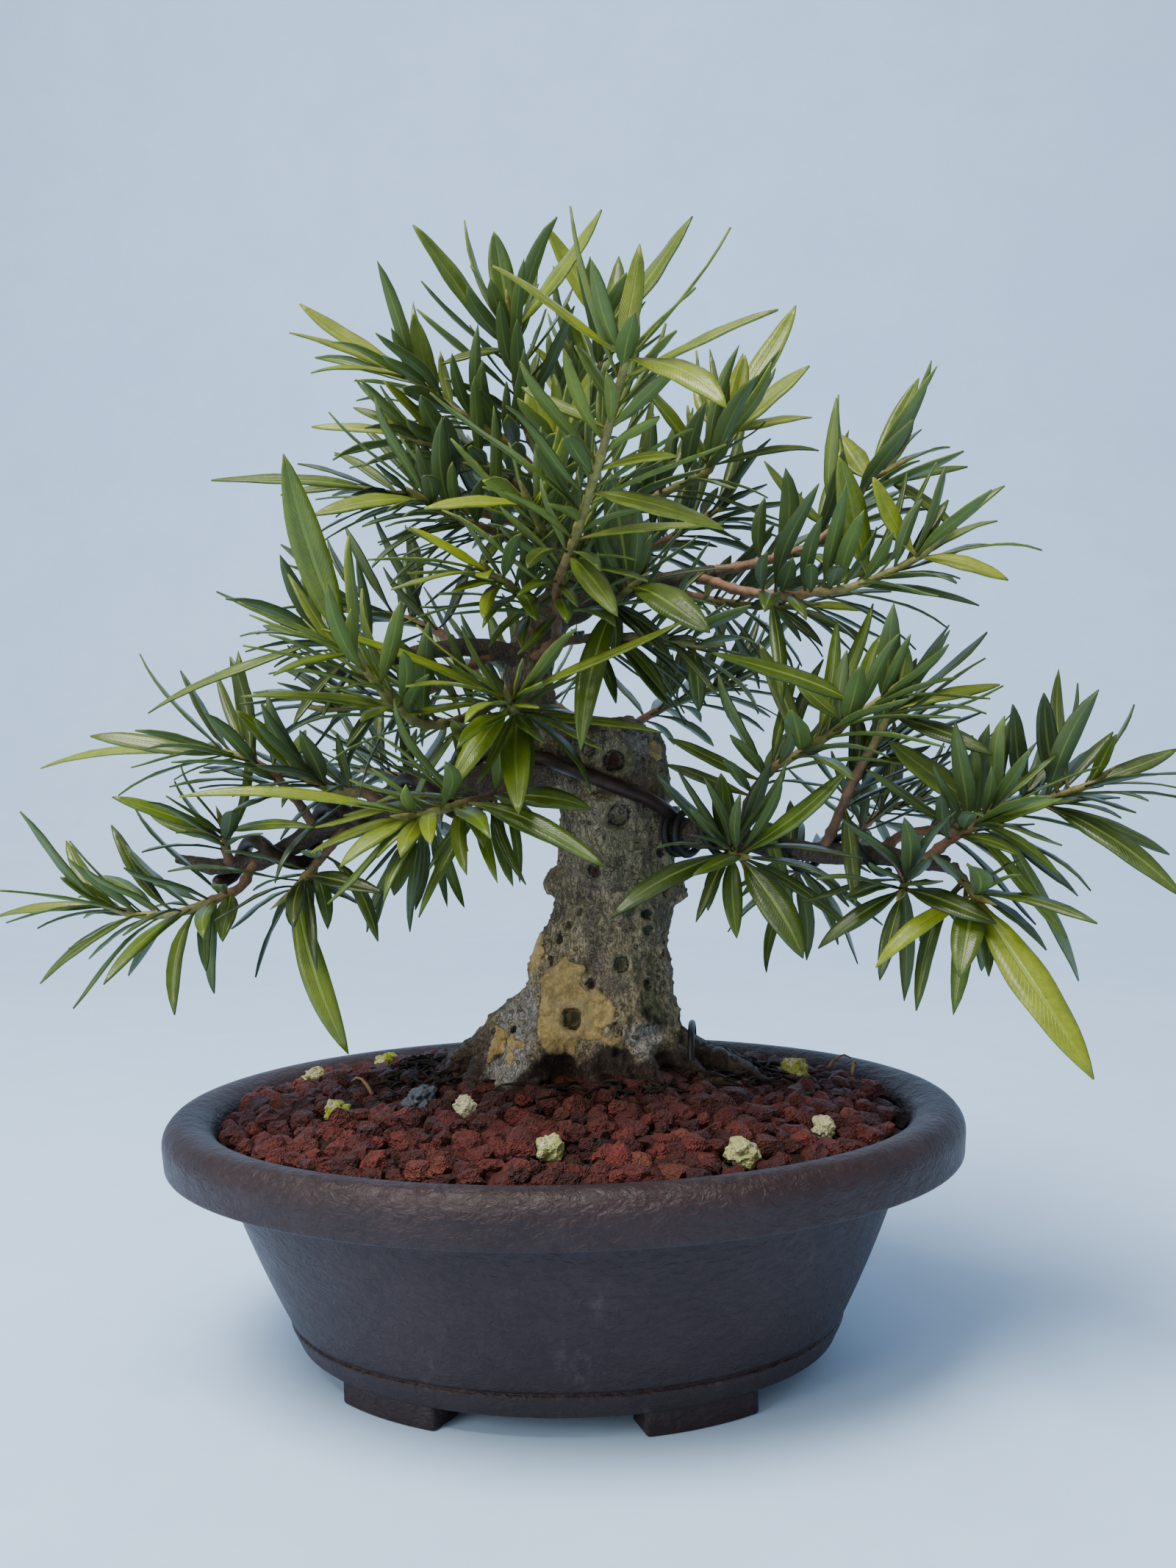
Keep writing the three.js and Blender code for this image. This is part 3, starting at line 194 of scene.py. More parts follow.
# What lies on the front of the bark, each a patch drawn round by x and z.
PASTE_PATCHES = (
    (
        (3.6, 83.2), (4.2, 81.5), (7.5, 80.8), (6.9, 78.8), (6.3, 77.4), (7.5, 76.0), (9.7, 76.6), (10.9, 75.2),
        (12.6, 73.9), (13.4, 72.2), (12.9, 70.8), (13.5, 69.8), (11.1, 69.0), (10.2, 67.6), (11.0, 66.9), (14.4, 66.8),
        (14.3, 65.8), (12.3, 65.0), (9.8, 66.6), (6.2, 66.2), (4.8, 65.1), (5.0, 63.6), (4.6, 61.6), (4.0, 62.8),
        (0.3, 63.7), (-1.6, 66.2), (-2.5, 68.1), (-2.5, 72.1), (-1.8, 76.0), (-1.4, 79.3), (0.9, 80.6), (2.3, 81.5),
    ),
    ((-0.9, 82.6), (0.6, 82.2), (1.1, 81.4), (0.4, 80.5), (-0.8, 81.1), (-1.3, 81.8)),
    ((-2.2, 83.6), (-2.3, 81.6), (-3.6, 78.3), (-4.2, 78.2), (-5.2, 79.4), (-4.4, 82.1), (-3.2, 86.5), (-2.2, 86.2)),
    ((-8.8, 66.8), (-6.5, 66.2), (-4.6, 66.0), (-4.7, 65.1), (-6.4, 64.8), (-8.2, 65.0), (-9.0, 65.8)),
    ((-8.3, 65.0), (-6.6, 64.4), (-6.7, 63.4), (-7.5, 62.2), (-8.3, 63.2)),
    ((-12.4, 68.0), (-10.4, 67.2), (-9.1, 66.0), (-9.6, 64.0), (-11.3, 63.0), (-12.9, 61.2), (-12.8, 64.8)),
    ((14.7, 71.1), (15.9, 70.2), (16.0, 69.4), (14.6, 69.6)),
    ((21.4, 126.4), (23.0, 125.0), (23.4, 122.2), (22.4, 121.6), (21.2, 124.0)),
)
# The first dark patch is the cavity under the paste, painted black as painted shade; the others are dark patches of
# the bark itself.
DARK_PATCHES = (
    ((-0.6, 64.2), (2.4, 63.7), (4.2, 62.8), (4.9, 61.7), (4.6, 59.6), (0.6, 59.6), (-1.6, 61.6)),
    (
        (10.6, 65.6), (12.2, 65.2), (13.7, 65.0), (16.2, 63.9), (17.0, 62.5), (15.5, 60.6), (13.3, 59.6), (10.6, 60.8),
        (9.6, 63.2),
    ),
    ((18.5, 72.2), (20.4, 71.9), (20.5, 69.9), (19.7, 68.6), (18.2, 70.3)),
    ((20.2, 70.4), (21.1, 70.3), (21.5, 68.8), (22.9, 68.5), (22.7, 67.6), (20.3, 68.4)),
)
PALE_PATCHES = (
    ((14.7, 68.8), (17.1, 69.5), (22.7, 67.8), (22.4, 65.1), (20.2, 62.4), (17.4, 61.7), (16.3, 64.3), (14.6, 66.4)),
    ((-12.0, 70.5), (-4.0, 76.0), (-2.6, 70.0), (-3.4, 62.0), (-8.0, 58.0), (-13.6, 58.0)),
    ((16.5, 131.0), (21.5, 129.0), (22.5, 124.0), (18.0, 121.5), (16.5, 126.0)),
)
MOSS_PATCHES = (
    ((14.5, 73.8), (16.2, 73.9), (16.1, 70.8), (14.7, 70.7), (14.2, 72.1)),
    ((17.6, 82.5), (25.5, 84.0), (25.5, 70.0), (21.0, 66.5), (18.8, 72.0)),
    ((12.4, 83.2), (17.2, 83.2), (17.0, 78.4), (12.6, 78.4)),
    ((-4.4, 68.6), (-2.8, 67.5), (-2.8, 64.0), (-4.6, 64.6), (-6.0, 67.6)),
)

# The leafy shoots: the limb that bears it, the stem's route, and its large leaves as
# [how far along the stem, the tip's x, y and z, the width].
SHOOTS = {
    "leader": (
        "upper_trunk",
        ((2, 6, 182), (-2, 3, 190), (-4, 0, 198), (-4, -4, 206), (-4, -8, 212)),
        (
            (0.8, -21, -18, 228, 5.5), (1, -6, -12, 228, 4.9), (0.9, 16, -16, 229, 5.6), (0.6, 4, -12, 212, 4.4),
            (0.8, -18, -10, 203, 3.2),
        ),
    ),
    "crown_back": (
        "upper_trunk",
        ((2, 6, 177), (5, 13, 186), (8, 17, 198), (11, 18, 208), (13, 16, 217)),
        ((1, 1, 14, 239, 4.8), (1, 33, 10, 237, 5.8), (0.7, 5, 12, 222, 3), (0.6, -3, 12, 213, 3.2)),
    ),
    "crown_left": (
        "upper_trunk",
        ((3, 6, 178), (-6, -4, 188), (-16, -9, 194), (-21, -12, 198), (-24, -14, 200)),
        (
            (1, -45, -16, 215, 4), (1, -45, -20, 207, 2.8), (0.9, -46, -4, 208, 3), (1, -40, -26, 198, 2.4),
            (0.8, -21, -20, 210, 3.9),
        ),
    ),
    "crown_left_low": (
        "upper_trunk",
        ((4, 6, 173), (-6, -4, 180), (-12, -10, 183), (-19, -14, 186), (-23, -16, 187)),
        ((1, -44, -14, 191, 2.4), (0.9, -37, -8, 196, 2.4), (0.7, -27, -22, 197, 3.6)),
    ),
    "left_back_high": (
        "upper_trunk",
        ((4, 6, 168), (-6, 4, 173), (-17, -1, 176), (-26, -5, 178), (-31, -9, 178)),
        (
            (1, -63, -20, 180, 3.8), (1, -53, -8, 179, 2.4), (0.9, -45, 4, 190, 2.4), (0.8, -25, -14, 190, 3.8),
            (0.6, -13, -22, 187, 4.6), (0.85, -30, -18, 182, 3),
        ),
    ),
    "upper_left": (
        "upper_trunk",
        ((5, 6, 162), (-6, -10, 168), (-11, -18, 169), (-16, -24, 171), (-18, -28, 172)),
        ((1, -36, -40, 168, 4.5), (0.65, -28, -26, 165, 2.4)),
    ),
    "crown_front": (
        "upper_trunk",
        ((4, 6, 170), (5, -8, 176), (5, -14, 180), (6, -18, 184)),
        ((1, 2, -22, 195, 5.6), (0.9, 15, -24, 197, 4.2), (0.7, -23, -28, 191, 5)),
    ),
    "crown_right": (
        "upper_trunk",
        ((5, 6, 167), (17, 10, 175), (27, 7, 179), (35, 4, 182), (38, 3, 190)),
        (
            (0.9, 56, 0, 201, 5.2), (1, 54, 8, 216, 5), (1, 57, 5, 194, 3.4), (0.8, 58, 10, 186, 2.4),
            (0.8, 21, -8, 199, 4.7), (1, 33, 9, 203, 6.5), (1, 43, 0, 204, 4),
        ),
    ),
    "right_back_high": (
        "upper_trunk",
        ((5, 6, 161), (16, 12, 165), (27, 17, 171), (37, 20, 177)),
        (),
    ),
    "front_shoot": (
        "upper_trunk",
        (
            (-4, 5, 143), (3, -8, 146), (5, -18, 150), (7, -30, 155), (11, -40, 160), (15, -50, 166), (18, -57, 171),
            (20, -61, 175), (24, -68, 185),
        ),
        (
            (0.63, -6, -74, 179, 4.2), (1, 5, -78, 196, 2.6), (0.95, 47, -74, 188, 2.4), (1, 35, -80, 190, 2.8),
            (1, 39, -82, 172, 4.7), (0.75, 31, -62, 170, 2.4), (0.9, 16, -70, 186, 3.8), (0.85, 6, -60, 183, 2.4),
            (0.5, 20, -54, 146, 4.3), (0.4, 2, -46, 151, 2.4), (0.7, 38, -56, 159, 4.6), (0.55, 38, -44, 162, 2.4),
        ),
    ),
    "front_twig": (
        "upper_trunk",
        ((-3, 5, 149), (-1, -14, 153), (-3, -26, 156), (-5, -32, 157)),
        ((1, -18, -40, 165, 2.6), (0.8, -11, -40, 153, 2.6), (0.5, -4, -30, 166, 2.6)),
    ),
    "front_bud": (
        "upper_trunk",
        ((4, 5, 158), (5, -20, 162), (4, -30, 166), (3, -35, 169)),
        ((1, -14, -46, 167, 3.3),),
    ),
    "right_inner": (
        "right_mid",
        ((12, 4, 156), (15, -12, 153), (20, -22, 155)),
        ((1, 17, -26, 176, 5.8), (1, 35, -40, 144, 6.5), (0.7, 11, -36, 124, 5)),
    ),
    "right_long_up": (
        "right_mid",
        ((36, -2, 160), (45, -5, 161), (54, -8, 163), (61, -9, 168), (66, -9, 175), (70, -9, 177)),
        (
            (0.6, 46, -10, 180, 3.2), (0.9, 77, -4, 196, 3.6), (0.9, 61, 0, 187, 5.8), (0.95, 82, -14, 164, 2.8),
            (0.85, 86, -4, 178, 2.2), (0.5, 68, 0, 167, 2.2),
        ),
    ),
    "right_long_low": (
        "right_mid",
        ((31, 0, 160), (41, -8, 155), (49, -13, 153), (55, -17, 153), (60, -20, 153), (67, -22, 155), (74, -24, 158)),
        (
            (0.77, 59, -28, 176, 5.7), (1, 65, -28, 172, 4.1), (0.97, 89, -24, 170, 2.2), (1, 88, -30, 152, 3.8),
            (0.7, 85, -18, 149, 2.4), (1, 88, -20, 155, 2.2), (0.5, 73, -6, 162, 2.4),
        ),
    ),
    "right_mid_tuft": (
        "right_mid",
        ((24, 1, 159), (31, 6, 156), (42, 8, 154), (52, 6, 153)),
        ((1, 66, 2, 145, 2.4), (1, 68, 9, 152, 2.2), (0.85, 57, 0, 144, 2.6)),
    ),
    "right_mid_low": (
        "upper_trunk",
        ((-4, 5, 146), (6, -4, 147), (14, -8, 147), (23, -12, 146), (32, -14, 144)),
        ((0.5, 26, -18, 134, 2.4), (1, 32, -15, 131, 3.5)),
    ),
    "centre_front": (
        "upper_trunk",
        ((-4, 5, 136), (-4, -12, 132), (-3, -24, 132), (-3, -30, 134)),
        (
            (0.9, 1, -36, 141, 3), (0.8, -10, -44, 125, 3.6), (0.9, -12, -40, 118, 4.4), (0.5, 0, -40, 113, 5.4),
            (0.4, 25, -22, 127, 2.6), (1, 30, -40, 146, 2.2), (0.9, -34, -44, 147, 2.2),
        ),
    ),
    "left_front_shoot": (
        "upper_trunk",
        ((-5, 5, 140), (-13, -14, 132), (-20, -26, 130), (-24, -34, 134), (-26, -40, 138), (-29, -44, 143)),
        ((1, -35, -58, 175, 6), (0.5, -46, -52, 135, 3.8), (1, -38, -58, 138, 2.4)),
    ),
    "left_mid_shoot": (
        "left_mid",
        ((-29, -12, 144), (-34, -16, 145), (-39, -19, 146), (-42, -21, 148)),
        ((1, -44, -22, 159, 2.6), (0.85, -47, -14, 161, 5.2), (0.95, -75, -26, 134, 2.8), (0.9, -57, -10, 152, 2.4)),
    ),
    "left_mid_tuft": (
        "left_mid",
        ((-16, -5, 146), (-24, 2, 151), (-34, 6, 155), (-42, 7, 156)),
        (),
    ),
    "left_mid_low": (
        "left_mid",
        ((-10, -1, 146), (-19, -10, 139), (-32, -14, 135), (-42, -16, 134)),
        (),
    ),
    "low_front": (
        "left_low",
        ((-7, 0, 120), (-8, -14, 116), (-12, -26, 115), (-15, -34, 114), (-19, -42, 113)),
        (
            (1, -57, -54, 118, 2.4), (0.6, 15, -38, 103, 4), (1, -30, -50, 105, 3.4), (1, -38, -42, 107, 2.2),
            (0.6, -13, -54, 117, 3.2), (0.5, 6, -26, 106, 3.6), (0.3, 5, -18, 105, 2.6), (0.35, 11, -22, 113, 4.8),
        ),
    ),
    "left_centre": (
        "left_low",
        ((-31, -8, 114), (-36, -14, 117), (-41, -18, 118), (-45, -21, 120)),
        ((0.9, -57, -27, 134, 4.2),),
    ),
    "left_up": (
        "left_low",
        ((-46, -12, 109), (-49, -16, 116), (-52, -20, 121), (-57, -22, 125), (-62, -22, 126)),
        ((1, -102, -18, 124, 2.4), (1, -70, -12, 127, 3), (0.9, -87, -26, 130, 3.8), (0.5, -46, -30, 130, 3.6)),
    ),
    "left_end": (
        "left_low",
        ((-63, -16, 102), (-63, -19, 107), (-62, -22, 111)),
        ((1, -80, -32, 118, 3.4), (0.6, -78, -20, 114, 3.8), (0.9, -41, -30, 111, 2.6)),
    ),
    "left_long": (
        "left_low",
        ((-58, -15, 104), (-60, -20, 99), (-64, -24, 97), (-70, -27, 95), (-77, -29, 95), (-83, -30, 97)),
        (
            (1, -106, -30, 95, 2.4), (0.9, -90, -34, 103, 2.6), (0.8, -97, -30, 82, 2.8), (0.45, -74, -50, 85, 2.8),
            (0.3, -66, -20, 78, 2.4), (0.2, -59, -32, 90, 4.2),
        ),
    ),
    "left_under": (
        "left_low",
        ((-40, -11, 111), (-44, -15, 105), (-47, -18, 101), (-49, -20, 98)),
        ((1, -37, -26, 67, 5.2), (0.7, -29, -26, 98, 3.8), (0.8, -39, -8, 94, 2.6)),
    ),
    "left_hang": (
        "left_low",
        ((-20, -5, 117), (-25, 3, 111), (-31, 7, 108)),
        ((1, -34, 0, 95, 5), (1, -43, 10, 86, 2.4), (0.8, -33, 6, 86, 2.4), (0.5, -21, 10, 91, 2.4)),
    ),
    "left_back": (
        "left_low",
        ((-25, -6, 116), (-30, 6, 119), (-40, 16, 121), (-48, 24, 122)),
        (),
    ),
    "right_node": (
        "right_low",
        ((37, -7, 106), (37, -14, 104), (39, -20, 103)),
        (
            (1, 50, -30, 85, 6.3), (1, 59, -28, 119, 4.1), (0.5, 15, -30, 93, 4.6), (0.6, 38, -24, 88, 3.8),
            (0.3, 24, -24, 119, 3.4), (0.4, 36, -22, 119, 4.4), (1, 60, -14, 88, 2.6),
        ),
    ),
    "right_up_shoot": (
        "right_low",
        (
            (40, -8, 105), (41, -14, 113), (45, -18, 119), (50, -21, 122), (57, -24, 126), (61, -26, 129),
            (66, -27, 132),
        ),
        (
            (0.55, 49, -34, 130, 5.6), (0.9, 35, -32, 141, 4.8), (0.55, 44, -14, 144, 3.6), (0.8, 50, -26, 137, 2.8),
            (0.8, 59, -13, 140, 3.4), (0.3, 26, -20, 126, 3), (0.2, 25, -12, 121, 2.6), (0.2, 49, -20, 90, 2.6),
        ),
    ),
    "right_mid_shoot": (
        "right_low",
        ((55, -12, 103), (58, -16, 110), (61, -18, 117), (65, -20, 124), (68, -21, 130)),
        (
            (0.9, 71, -22, 142, 4.2), (1, 88, -20, 134, 2.8), (1, 84, -32, 121, 4), (0.55, 76, -14, 123, 2.4),
            (0.3, 60, -26, 94, 3.2),
        ),
    ),
    "right_under": (
        "right_low",
        ((69, -13, 101), (70, -18, 98), (69, -22, 96)),
        ((1, 53, -28, 86, 3.2), (0.9, 59, -18, 88, 2.8), (1, 64, -26, 80, 3.2), (1, 84, -32, 91, 4.8)),
    ),
    "right_end_low": (
        "right_low",
        ((79, -14, 100), (81, -19, 97), (82, -24, 95)),
        (
            (0.3, 49, -30, 95, 3.2), (1, 63, -38, 83, 3.4), (0.9, 77, -38, 82, 5.6), (0.8, 84, -16, 80, 2.8),
            (1, 97, -44, 66, 7.6),
        ),
    ),
    "right_end_mid": (
        "right_low",
        ((74, -14, 101), (78, -19, 105), (82, -23, 108), (86, -26, 112)),
        (
            (0.6, 98, -24, 87, 2.6), (0.7, 96, -28, 99, 2.4), (0.9, 103, -14, 77, 3.4), (0.6, 95, -36, 113, 3.6),
            (0.4, 88, -34, 103, 3.2), (0.8, 67, -18, 124, 5.7), (0.5, 62, -32, 119, 2.6),
        ),
    ),
    "right_tip": (
        "right_low",
        ((64, -13, 102), (72, -8, 106), (82, -9, 107), (91, -14, 110), (99, -18, 113), (104, -20, 115)),
        (
            (1, 120, -18, 121, 3.4), (0.75, 120, -12, 101, 3.4), (0.75, 116, -32, 95, 4.6), (0.5, 104, -8, 93, 2.6),
            (0.6, 107, -6, 129, 2.6), (0.9, 101, -10, 137, 2.8), (0.7, 89, -26, 130, 4.2), (0.85, 95, -24, 132, 4.2),
            (1, 107, -26, 124, 2.6),
        ),
    ),
    "right_hang": (
        "right_low",
        ((47, -10, 104), (49, -3, 101), (52, 3, 98)),
        ((1, 64, 20, 76, 2.6), (1, 36, 16, 84, 2.4), (0.8, 44, 10, 76, 2.6)),
    ),
    "right_back": (
        "right_low",
        ((60, -12, 103), (64, 0, 107), (70, 10, 110), (78, 16, 112)),
        (),
    ),
    "back_low_end": (
        "back_low",
        ((-2, 44, 133), (-5, 50, 136), (-8, 57, 142)),
        (),
    ),
    "back_low_left": (
        "back_low",
        ((6, 29, 130), (-4, 33, 136), (-16, 36, 141), (-26, 38, 144)),
        (),
    ),
    "back_low_right": (
        "back_low",
        ((10, 16, 125), (19, 28, 132), (30, 35, 137), (40, 38, 140)),
        (),
    ),
    "back_high_end": (
        "back_high",
        ((12, 26, 171), (15, 33, 176), (17, 39, 182)),
        (),
    ),
    "back_high_left": (
        "back_high",
        ((9, 19, 168), (0, 25, 175), (-10, 29, 181), (-18, 31, 185)),
        (),
    ),
}
SHOOT_RADII = (1.15, 0.75)
SPIRAL_TURN = math.radians(137.5)
LOWEST_LEAF = 62
SOLID_LEAF_THICKNESS = 0.9
LEAF_ARCH = 0.06
LEAF_SWEEP = 0.12
NARROWEST_LEAF = 2.4
LEAF_CLEARANCE = 0.5
DEPTH_SHIFTS = (0, 3, -3, 6, -6, 9, -9, 12, -12)
FIT_GAP = 0.3

# The small leaves: those of the solids, and the finer ones added between them, whose tips keep
# within the solids' own reach.
SOLID_SMALL_LEAVES = {
    "seed": 1000,
    "seed_step": 7919,
    "fewest": 3,
    "stem_per_leaf": 20,
    "lengths": (15, 25),
    "widths": (2.8, 4.2),
    "clearance": LEAF_CLEARANCE,
    "thickness": SOLID_LEAF_THICKNESS,
    "turns": (0, 0.5, -0.5, 1, -1, 1.6, -1.6),
    "low": -np.inf,
    "high": np.inf,
}
ADDED_SMALL_LEAVES = {
    "seed": 50000,
    "seed_step": 101,
    "fewest": 6,
    "stem_per_leaf": 2.1,
    "lengths": (12, 27),
    "widths": (1.9, 3.3),
    "clearance": 0.12,
    "thickness": 0.3,
    "turns": np.linspace(0, 2 * math.pi, 9)[:-1],
    "low": np.array((-108, -86, LOWEST_LEAF)),
    "high": np.array((122, 69, 240)),
}

# The wires' coils: the limb, where it starts and ends along it, degrees at the start, turns.
BRANCH_WIRE = (("trunk", 60, 67, 385, -0.3), ("trunk", 68, 78, 270, -0.4), ("left_low", 18, 77, 250, 3.5))
COIL_WIRE = (("right_low", 11, 16, 80, 2), ("right_low", 18, 56, 120, 2.5))
TIE_WIRE = (
    (28, -4, 52), (28, -4, 59), (28, -2, 64), (28, 2, 66), (28, 7, 66), (28, 11, 64), (28, 13, 59), (28, 13, 52),
)
WIRE_RADII = {"branch_wire": 1.5, "coil_wire": 0.8, "tie_wire": 0.7}


# Small helpers for numbers, meshes and routes.
def drawer(seed):
    """A seeded draw from 0 to 1, the same on every run."""
    state = seed & 0xFFFFFFFF
    while True:
        state = (state * 1664525 + 1013904223) & 0xFFFFFFFF
        yield state / 4294967296


def between(low, high, share):
    return low + (high - low) * share


def smooth_step(low, high, value):
    share = np.clip((value - low) / (high - low), 0, 1)
    return share * share * (3 - 2 * share)


def unit(vector):
    return vector / np.linalg.norm(vector)


def oval_ratio(radius):
    return FLOOR_RATIO + (RIM_RATIO - FLOOR_RATIO) * (radius / POT_HALF_LENGTH)


def soil_height(x, y):
    share = math.hypot(x, y / oval_ratio(SOIL_HALF_LENGTH)) / SOIL_HALF_LENGTH
    return SOIL_EDGE + (SOIL_TOP - SOIL_EDGE) * (1 - share * share)


def distances_along(route):
    steps = np.linalg.norm(np.diff(np.array(route, float)[:, :3], axis=0), axis=1)
    return np.concatenate([[0], np.cumsum(steps)])


def place_along(route, distance):
    distances = distances_along(route)
    i = 1
    while i + 1 < len(route) and distances[i] < distance:
        i += 1
    share = (distance - distances[i - 1]) / (distances[i] - distances[i - 1])
    return np.array([between(a, b, share) for a, b in zip(route[i - 1], route[i])])


def smooth_route(route, step):
    """The route rounded through its points, with a point about every step millimetres."""
    points = np.array(route, float)
    padded = np.vstack([2 * points[0] - points[1], points, 2 * points[-1] - points[-2]])
    rounded = []
    for i in range(1, len(padded) - 2):
        a, b, c, d = padded[i - 1 : i + 3]
        count = max(1, round(float(np.linalg.norm((c - b)[:3])) / step))
        for t in np.arange(count) / count:
            rounded.append(
                0.5 * (2 * b + (c - a) * t + (2 * a - 5 * b + 4 * c - d) * t**2 + (3 * b - a - 3 * c + d) * t**3)
            )
    rounded.append(points[-1])
    return np.array(rounded)


def frames_along(route):
    """The direction at each point of a route, and two axes across it that don't twist."""
    points = np.array(route, float)[:, :3]
    side = None
    frames = []
    for i, point in enumerate(points):
        along = unit(points[min(i + 1, len(points) - 1)] - points[max(i - 1, 0)])
        if side is None:
            side = np.array((0.0, 1, 0)) if abs(along[1]) < 0.8 else np.array((1.0, 0, 0))
        side = unit(side - along * (side @ along))
        frames.append((point, along, side, np.cross(along, side)))
    return frames


def sweep(bm, route, sides, tints=None):
    """Draws a ring along a route of x, y, z and radius, and closes both ends."""
    tint = bm.verts.layers.float_color.get("tint")
    ring = bmesh.ops.create_circle(bm, segments=sides, radius=1, cap_ends=True)["verts"]
    ring.sort(key=lambda v: math.atan2(v.co.y, v.co.x))
    for i, (point, _, side, up) in enumerate(frames_along(route)):
        if i:
            edges = [ring[k].link_edges for k in range(sides)]
            beside = [(ring[(k + 1) % sides], ring[k - 1]) for k in range(sides)]
            loop = {e for k in range(sides) for e in edges[k] if e.other_vert(ring[k]) in beside[k]}
            made = bmesh.ops.extrude_edge_only(bm, edges=list(loop))["geom"]
            fresh = {v for v in made if isinstance(v, bmesh.types.BMVert)}
            ring = [next(e.other_vert(v) for e in v.link_edges if e.other_vert(v) in fresh) for v in ring]
        for k, v in enumerate(ring):
            angle = 2 * math.pi * k / sides
            v.co = point + route[i][3] * (side * math.cos(angle) + up * math.sin(angle))
            if tint and tints is not None:
                v[tint] = (*tints[i], 1)
    bmesh.ops.contextual_create(bm, geom=ring)


def finish_piece(name, mesh, materials, replaced=(), smooth=True):
    """Moves a finished mesh into the frame, and has it ride and stand for its nodes."""
    if isinstance(mesh, bmesh.types.BMesh):
        mesh = mesh_of(mesh, name)
    mesh.transform(TO_FRAME)
    for material in materials:
        mesh.materials.append(material)
    mesh.polygons.foreach_set("use_smooth", [smooth] * len(mesh.polygons))
    piece = bpy.data.objects.new(name, mesh)
    bpy.context.scene.collection.objects.link(piece)
    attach(piece, "root")
    if replaced:
        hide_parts(*replaced)
    return piece


def baked(mesh, name, *modifiers):
    """A mesh with modifiers applied, each given as its kind and its settings."""
    carrier = bpy.data.objects.new(name, mesh)
    bpy.context.scene.collection.objects.link(carrier)
    for kind, settings in modifiers:
        modifier = carrier.modifiers.new(kind.title(), kind)
        for key, value in settings.items():
            setattr(modifier, key, value)
    graph = bpy.context.evaluated_depsgraph_get()
    result = bpy.data.meshes.new_from_object(carrier.evaluated_get(graph))
    bpy.data.objects.remove(carrier)
    return result


def mesh_of(bm, name):
    mesh = bpy.data.meshes.new(name)
    bm.to_mesh(mesh)
    bm.free()
    return mesh


def gather(part, whole):
    """Adds a copy of one bmesh to another."""
    mesh = bpy.data.meshes.new("part")
    part.to_mesh(mesh)
    whole.from_mesh(mesh)
    bpy.data.meshes.remove(mesh)


# Building materials from nodes.
def rgba(colour, factor=1.0):
    return (*[c * factor for c in colour[:3]], 1)


class Nodes:
    """A node tree, with short calls for the nodes that the finishes are made of."""

    def __init__(self, tree, place):
        self.tree, self.place = tree, place

    def put(self, socket, value):
        """Links a socket to another one, or sets it to a plain value."""
        if isinstance(value, bpy.types.NodeSocket):
            self.tree.links.new(value, socket)
        else:
            socket.default_value = value

    def node(self, kind, values=None, **settings):
        node = self.tree.nodes.new(kind)
        for key, value in settings.items():
            setattr(node, key, value)
        for key, value in (values or {}).items():
            self.put(node.inputs[key], value)
        return node

    def maths(self, operation, *values, clamp=False):
        return self.node("ShaderNodeMath", dict(enumerate(values)), operation=operation, use_clamp=clamp).outputs[0]

    def times(self, first, second, clamp=False):
        return self.maths("MULTIPLY", first, second, clamp=clamp)

    def minus(self, first, second, clamp=False):
        return self.maths("SUBTRACT", first, second, clamp=clamp)

    def total(self, *weighed):
        """The sum of values, each given with its weight."""
        whole = None
        for value, weight in weighed:
            value = value if weight == 1 else self.times(value, weight)
            whole = value if whole is None else self.maths("ADD", whole, value)
        return whole

    def mix(self, share, first, second, way="MIX"):
        node = self.node("ShaderNodeMix", data_type="RGBA", blend_type=way)
        for key, value in {"Factor": share, "A": first, "B": second}.items():
            self.put(next(s for s in node.inputs if s.name == key and s.enabled), value)
        return next(s for s in node.outputs if s.enabled)

    def layered(self, colour, *layers):
        """A colour under layers of others, each given as its mask, its strength and its colour."""
        for mask, strength, above in layers:
            colour = self.mix(mask if strength == 1 else self.times(mask, strength), colour, above)
        return colour

    def span(self, value, low, high, to_low=0.0, to_high=1.0):
        values = {"Value": value, "From Min": low, "From Max": high, "To Min": to_low, "To Max": to_high}
        return self.node("ShaderNodeMapRange", values, interpolation_type="SMOOTHSTEP").outputs["Result"]

    def stretched(self, x, y, z, place=None):
        values = {"Vector": place or self.place, "Scale": (x, y, z)}
        return self.node("ShaderNodeMapping", values).outputs["Vector"]

    def cloud(self, scale, detail=3.0, roughness=0.5, distortion=0.0, place=None):
        values = {"Vector": place or self.place, "Scale": scale, "Detail": detail}
        values.update({"Roughness": roughness, "Distortion": distortion})
        return self.node("ShaderNodeTexNoise", values).outputs[0]

    def cells(self, scale, feature="F1", place=None):
        values = {"Vector": place or self.place, "Scale": scale}
        return self.node("ShaderNodeTexVoronoi", values, feature=feature).outputs["Distance"]

    def attribute(self, name, output="Fac"):
        return self.node("ShaderNodeAttribute", attribute_name=name).outputs[output]

    def tinted(self, tone, name="tint"):
        """A tone multiplied by the colour that the mesh carries."""
        return self.mix(1.0, self.attribute(name, "Color"), tone, "MULTIPLY")

    def raised(self, height, strength, distance):
        """A bump of that height in millimetres."""
        values = {"Height": height, "Strength": strength, "Distance": distance * MM}
        return self.node("ShaderNodeBump", values).outputs["Normal"]

    def grouped(self, group, **values):
        node = self.node("ShaderNodeGroup", node_tree=group)
        for key, value in values.items():
            self.put(node.inputs[key.replace("_", " ")], value)
        return node.outputs

    def mottle(self, scale, dark, light, place=None):
        """Soft patches of a darker and a lighter colour."""
        values = {"Place": place or self.place, "Patch_Scale": scale, "Dark": dark, "Light": light}
        return self.grouped(mottle_group(), **values)["Colour"]

    def mottled(self, colour, scale, darker, lighter, place=None):
        """One colour in softly darker and lighter patches."""
        return self.mottle(scale, rgba(colour, darker), rgba(colour, lighter), place)


